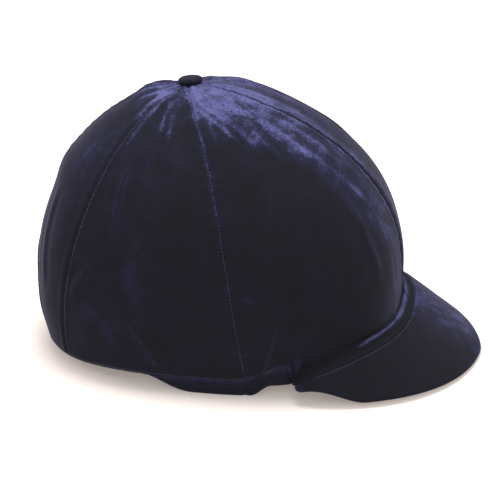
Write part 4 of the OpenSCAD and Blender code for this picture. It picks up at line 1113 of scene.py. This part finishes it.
def sew_channels(mesh, angles, depth, width, back_depth):
    """Presses sewn channels into the face of a wall pad, at angles round the head."""
    for corner in mesh.verts:
        at = around(corner.co)
        point = corner.co / MM
        flat = Vector((point.x, point.y - SHIFT_Y, 0))
        out = flat.normalized()
        near = min(abs((at - a + 180) % 360 - 180) for a in angles) * math.pi / 180 * flat.length
        down = dome_down(point.z, back_depth) if point.z < TOP - back_depth else 10
        wall = dome(at, down, back_depth)
        inside = math.hypot(wall.x, wall.y - SHIFT_Y) - flat.length
        share = smooth(inside / 5)
        corner.co += out * (depth * bump_at(near, width) * share * MM)


def wall_pad(name, start, end, foot, node, channels):
    """A cushion on the liner's wall, between two angles round the head, with its foot over the rim."""
    mesh = bmesh.new()
    for first, last in zip(start, end):
        def place(u, v):
            angle = mix(first, last, u)
            low = dome_down(edge_line(angle) + foot, PAD_FACE)
            down = mix(PAD_HEAD, low - 1.2, v)
            edge = min(smooth(min(u, 1 - u) * 18), smooth(min(v, 1 - v) * 7))
            return dome(angle, down, PAD_BACK + 1.4 - 0.5 * (1 - edge)), (0, 0), 0.0
        part = laid_grid(int(abs(last - first)), 16, place)
        part.normal_update()
        bmesh.ops.solidify(part, geom=part.faces, thickness=PAD_SHEET * MM)
        data = bpy.data.meshes.new("part")
        part.to_mesh(data)
        part.free()
        mesh.from_mesh(data)
        bpy.data.meshes.remove(data)
    bmesh.ops.recalc_face_normals(mesh, faces=mesh.faces)
    filled = swell(mesh, PAD_VOXEL, PAD_SWELL)
    sew_channels(filled, channels, 1.8, 1.5, PAD_BACK)
    made = finish_piece(name, filled, pad_cloth, "skull_cap", [node])


wall_pad("forehead_cushion", [-59], [59], PAD_FOOT, "forehead_pad", [-39, -20, 0, 20, 39])
wall_pad("nape_cushion", [121], [239], PAD_FOOT + 0.5, "nape_lining_pad", [141, 160, 180, 200, 219])
wall_pad("temple_cushions", [83, 263], [97, 277], PAD_FOOT + 17, "temple_pads", [60])


def crown_cushion():
    """The star-shaped cushion under the crown, with a vent between each pair of spokes."""
    def place(u, v):
        angle = 360 * u
        down = mix(1.0, 34.5, v)
        return dome(angle, down, PAD_BACK + 1.2), (0, 0), 0.0
    mesh = laid_grid(90, 20, place, closed=True)
    bmesh.ops.remove_doubles(mesh, verts=mesh.verts, dist=0.0008)
    holes = []
    for k in range(6):
        turn = math.radians(30 + 60 * k)
        centre = Vector((math.cos(turn), math.sin(turn), 0))
        holes.append((centre * 24, centre * 38))
    gone = []
    for face in mesh.faces:
        spot = face.calc_center_median() / MM
        flat = Vector((spot.x, spot.y - CROWN_BACK - SHIFT_Y, 0))
        for inner, outer in holes:
            way = outer - inner
            share = min(max((flat - inner).dot(way) / way.length_squared, 0), 1)
            if (flat - inner - way * share).length < 6.2:
                gone.append(face)
                break
    bmesh.ops.delete(mesh, geom=gone, context="FACES")
    mesh.normal_update()
    bmesh.ops.solidify(mesh, geom=mesh.faces, thickness=PAD_SHEET * MM)
    bmesh.ops.recalc_face_normals(mesh, faces=mesh.faces)
    filled = swell(mesh, PAD_VOXEL, PAD_SWELL)
    made = finish_piece("crown_cushion", filled, pad_cloth, "skull_cap", ["crown_pad"])


crown_cushion()


# ---------- the harness ----------

LEFT_FRAME = (
    Matrix.Translation(Vector((BAR_X, SHIFT_Y, BAR_H)) * MM)
    @ Matrix.Rotation(math.radians(-STOW_LEAN), 4, "Y")
)
RIGHT_FRAME = Matrix.Scale(-1, 4, (1, 0, 0)) @ LEFT_FRAME
NAPE_FRAME = (
    Matrix.Translation(Vector((0, BAR_NAPE_Y + SHIFT_Y, BAR_H)) * MM)
    @ Matrix.Rotation(math.radians(STOW_LEAN), 4, "X") @ Matrix.Rotation(math.radians(90), 4, "Z")
)


def strap_path(bar_z, bar_x, bar_r, far_z, stitch_z, end_z):
    """A strap's middle line, seen from its edge: from its far end to the bar, round it and back to its
    stitches."""
    reach = bar_r + WEB_T / 2
    turn = 1 if far_z > bar_z else -1
    points = [Vector((STRAP_MID, far_z)), Vector((STRAP_MID, mix(far_z, bar_z, 0.5)))]
    points += [Vector((STRAP_MID, bar_z + turn * 9)), Vector((STRAP_MID, bar_z + turn * 4))]
    for k in range(0, 13):
        angle = math.radians(180 + 15 * k)
        points.append(Vector((bar_x + reach * math.cos(angle), bar_z + turn * reach * math.sin(angle))))
    points += [Vector((mix(bar_x + reach, SECOND_MID, 0.35), bar_z + turn * 3.5))]
    points += [Vector((mix(bar_x + reach, SECOND_MID, 0.9), bar_z + turn * 7.5))]
    points += [Vector((SECOND_MID, stitch_z)), Vector((SECOND_MID, end_z))]
    return points


def along_path(points, share):
    """The point at a share of a line's whole length."""
    lengths = [(b - a).length for a, b in zip(points, points[1:])]
    left = share * sum(lengths)
    for start, end, long in zip(points, points[1:], lengths):
        if left <= long:
            return start.lerp(end, left / long), share * sum(lengths)
        left -= long
    return points[-1].copy(), sum(lengths)


def webbing_strip(name, points, width, shift, space, body, nodes):
    """Flat webbing along a line seen from its edge. shift(z) moves its middle sideways at each height."""
    rows = max(24, int(sum((b - a).length for a, b in zip(points, points[1:])) / 1.6))
    def place(u, v):
        spot, along = along_path(points, v)
        across = (u - 0.5) * width
        return Vector((spot.x, shift(spot.y) + across, spot.y)), (across, along), 0.0
    mesh = laid_grid(8, rows, place)
    bmesh.ops.transform(mesh, matrix=space, verts=mesh.verts)
    made = finish_piece(name, mesh, webbing, body, nodes)
    thicken(made, WEB_T - 0.1, 0, 0.0)
    edge = made.modifiers.new("Selvedge", "BEVEL")
    edge.width = 0.4 * MM
    edge.segments = 2
    edge.limit_method = "ANGLE"


def box_stitch(mesh, space, low, high, width, middle, x):
    """A sewn box with a cross in it, on the face of a strap."""
    half = width / 2
    corners = [Vector((x, middle - half, low)), Vector((x, middle + half, low)),
               Vector((x, middle + half, high)), Vector((x, middle - half, high))]
    lines = [(0, 1), (1, 2), (2, 3), (3, 0), (0, 2), (1, 3)]
    for one, two in lines:
        ends = [space @ (corners[k] * MM) / MM for k in (one, two)]
        out = (space.to_3x3() @ Vector((-1, 0, 0))).normalized()
        stitch_row(mesh, ends, 1.6, 1.2, 0.35, lambda p: out)


def branch_shift(direction):
    return lambda z: direction * mix(HANGER_Y, ENTRY_Y, min(max((z - 12) / (SLIDER_LOW - 13), 0), 1))


sides = {"left": (LEFT_FRAME, "harness_left"), "right": (RIGHT_FRAME, "harness_right")}
for hand, (space, body) in sides.items():
    rows = bmesh.new()
    for part, direction in (("front", -1), ("rear", 1)):
        webbing_strip(
            f"webbing_{part}_{hand}", strap_path(0, 0, 1.7, SLIDER_LOW + 4.8, 9.6, 13.6), WEB_W,
            branch_shift(direction), space, body, [f"{part}_strap_{hand}"],
        )
        for x in (STRAP_MID - 0.8, SECOND_MID + 0.8):
            box_stitch(rows, space, SEW_LOW, SEW_HIGH, WEB_W - 4, direction * HANGER_Y, x)
    low, high = (98.5, 107) if hand == "left" else (80.8, 84.8)
    for x in (STRAP_MID - 0.8, SECOND_MID + 0.8):
        box_stitch(rows, space, low, high, CHIN_W - 5, 0, x)
    finish_piece(f"strap_stitches_{hand}", rows, black_thread, body, ())

webbing_strip(
    "webbing_chin_strap", strap_path(116, -0.3, 1.4, SLIDER_HIGH - 4.8, 108.4, 97.2), CHIN_W, lambda z: 0.0,
    LEFT_FRAME, "harness_left", ["chin_strap"],
)
webbing_strip(
    "webbing_buckle_strap", strap_path(94, -0.3, 1.4, SLIDER_HIGH - 4.8, 86.4, 80.2), CHIN_W, lambda z: 0.0,
    RIGHT_FRAME, "harness_right", ["buckle_strap"],
)


def nape_webbing():
    """The two nape straps as one piece, each round its bar and up into the nape cushion."""
    mesh = bmesh.new()
    points = strap_path(0, 0, 1.7, 40.6, 9.6, 13.6)
    for middle in (-NAPE_X, NAPE_X):
        def place(u, v):
            spot, along = along_path(points, v)
            across = (u - 0.5) * WEB_W
            return Vector((spot.x, middle + across, spot.y)), (across, along), 0.0
        part = laid_grid(8, 60, place)
        bmesh.ops.transform(part, matrix=NAPE_FRAME, verts=part.verts)
        data = bpy.data.meshes.new("part")
        part.to_mesh(data)
        part.free()
        mesh.from_mesh(data)
        bpy.data.meshes.remove(data)
    made = finish_piece("webbing_nape_straps", mesh, webbing, "nape_harness", ["nape_straps"])
    thicken(made, WEB_T - 0.1, 0, 0.0)
    rows = bmesh.new()
    for middle in (-NAPE_X, NAPE_X):
        for x in (STRAP_MID - 0.8, SECOND_MID + 0.8):
            box_stitch(rows, NAPE_FRAME, SEW_LOW, SEW_HIGH, WEB_W - 4, middle, x)
    finish_piece("strap_stitches_nape", rows, black_thread, "nape_harness", ())


nape_webbing()


def keeper_ring():
    """A loop of elastic webbing that holds both runs of the chin strap together."""
    half_x, half_y, corner = 2.6, 9.9, 0.9
    middle = Vector((-1.7, 0, 102.5))
    ring = []
    turns = ((half_x, half_y, 0), (-half_x, half_y, 90), (-half_x, -half_y, 180), (half_x, -half_y, 270))
    for cx, cy, start in turns:
        for k in range(5):
            turn = math.radians(start + 22.5 * k)
            ring.append(Vector((
                cx - math.copysign(corner, cx) + corner * math.cos(turn),
                cy - math.copysign(corner, cy) + corner * math.sin(turn),
            )))
    ring.append(ring[0].copy())
    def place(u, v):
        spot, along = along_path(ring, v)
        return middle + Vector((spot.x, spot.y, (u - 0.5) * 5)), (u * 5, along), 0.0
    mesh = laid_grid(4, 64, place, closed=True)
    bmesh.ops.transform(mesh, matrix=LEFT_FRAME, verts=mesh.verts)
    bmesh.ops.recalc_face_normals(mesh, faces=mesh.faces)
    made = finish_piece("elastic_keeper", mesh, webbing, "keeper", ["strap_keeper"])
    thicken(made, 1.0, 0, 0.0)


keeper_ring()


def small_cushion(name, length, width, thick, low, space, body, node):
    """A small cushion on a strap: a block with rounded corners, blown up."""
    mesh = bmesh.new()
    bmesh.ops.create_cube(mesh, size=1)
    size = Matrix.Diagonal(((thick - 2.0) * MM, (width - 2.4) * MM, (length - 2.4) * MM, 1))
    bmesh.ops.transform(mesh, matrix=size, verts=mesh.verts)
    upright = [e for e in mesh.edges if abs((e.verts[0].co - e.verts[1].co).normalized().x) > 0.9]
    bmesh.ops.bevel(
        mesh, geom=upright, offset=4 * MM, segments=5, affect="EDGES", profile=0.5, material=-1,
    )
    place = space @ Matrix.Translation(Vector((STRAP_MID, 0, low + length / 2)) * MM)
    bmesh.ops.transform(mesh, matrix=place, verts=mesh.verts)
    bmesh.ops.recalc_face_normals(mesh, faces=mesh.faces)
    made = finish_piece(name, swell(mesh, 1.5, 1.1, 2.0), leather, body, [node])


small_cushion("chin_cushion", 28, 27, 7, SLIDER_HIGH + 2, LEFT_FRAME, "chin_cup", "chin_pad")
small_cushion("nape_harness_cushion", 30, 84, 6, 26, NAPE_FRAME, "nape_harness", "nape_pad")


# ---------- light, floor and camera ----------

def area_light(name, at, aim, size, power, tint):
    lamp = bpy.data.lights.new(name, "AREA")
    lamp.shape = "DISK"
    lamp.size = size
    lamp.energy = power
    lamp.color = linear(tint)[:3]
    made = bpy.data.objects.new(name, lamp)
    bpy.context.scene.collection.objects.link(made)
    made.location = at
    made.rotation_euler = (Vector(aim) - Vector(at)).to_track_quat("-Z", "Y").to_euler()


area_light("overhead", (0.07, 0.02, 1.3), (0, 0.03, 0.1), 0.9, 13, "#fffdfa")
area_light("side fill", (-1.2, -0.3, 0.8), (0, 0.03, 0.08), 1.0, 5.0, "#f6f8ff")

floor_mesh = bmesh.new()
bmesh.ops.create_grid(floor_mesh, x_segments=1, y_segments=1, size=4)
floor_data = bpy.data.meshes.new("floor")
floor_mesh.to_mesh(floor_data)
floor_mesh.free()
floor = bpy.data.objects.new("floor", floor_data)
bpy.context.scene.collection.objects.link(floor)

paper, tree, place = new_material("white paper floor")
rays = add(tree, "ShaderNodeLightPath")
seen = maths(tree, "MAXIMUM", rays.outputs["Is Camera Ray"], rays.outputs["Is Glossy Ray"])
seen = maths(tree, "MAXIMUM", seen, rays.outputs["Is Transmission Ray"])
# The paper glows white for the camera; round the helmet its glow is lower and warm, which paints a shadow
# there on top of the lamps' own shadow.
spread = maths(tree, "MULTIPLY", place.outputs["Object"], (7.9, 5.9, 0), kind="ShaderNodeVectorMath")
distance = add(tree, "ShaderNodeVectorMath", {0: spread}, operation="LENGTH")
backlight_and_painted_shadow = add(tree, "ShaderNodeMapRange", {
    "Value": distance.outputs["Value"], "From Min": 0.92, "From Max": 1.45, "To Min": 0.26, "To Max": 0.9,
})
white = add(tree, "ShaderNodeBsdfDiffuse", {"Color": linear("#f4eeea")})
glow_and_painted_shadow = maths(tree, "MULTIPLY", seen, backlight_and_painted_shadow.outputs["Result"])
lit = add(tree, "ShaderNodeEmission", {"Color": linear("#ffeee4"), "Strength": glow_and_painted_shadow})
both = add(tree, "ShaderNodeAddShader", {0: white.outputs[0], 1: lit.outputs[0]})
add(tree, "ShaderNodeOutputMaterial", {"Surface": both.outputs[0]})
floor_data.materials.append(paper)

world = bpy.data.worlds.new("studio")
world.use_nodes = True
world.node_tree.nodes.clear()
rays = add(world.node_tree, "ShaderNodeLightPath")
seen = maths(world.node_tree, "MAXIMUM", rays.outputs["Is Camera Ray"], rays.outputs["Is Glossy Ray"])
seen = maths(world.node_tree, "MAXIMUM", seen, rays.outputs["Is Transmission Ray"])
level = add(world.node_tree, "ShaderNodeMapRange", {
    "Value": seen, "To Min": 0.35, "To Max": 1.0,
})
sky = add(world.node_tree, "ShaderNodeBackground", {
    "Color": (1, 1, 1, 1), "Strength": level.outputs["Result"],
})
add(world.node_tree, "ShaderNodeOutputWorld", {"Surface": sky.outputs[0]})
bpy.context.scene.world = world

# The camera stands by the wearer's right side, a little ahead of the ear, and looks down a little.
target = Vector((0, SHIFT_Y, WAIST)) * MM
back = Vector((-0.9165, -0.1781, 0.3584)).normalized()
right = Vector((0.1908, -0.9816, 0)).normalized()
lens = bpy.data.cameras.new("camera")
lens.lens = 101.8
lens.sensor_width = 36
camera = bpy.data.objects.new("camera", lens)
bpy.context.scene.collection.objects.link(camera)
camera.location = target + back * 1.1 + right * 0.0216 + back.cross(right).normalized() * 0.0131
camera.rotation_euler = (-back).to_track_quat("-Z", "Y").to_euler()
bpy.context.scene.camera = camera
bpy.context.scene.view_settings.view_transform = "Standard"
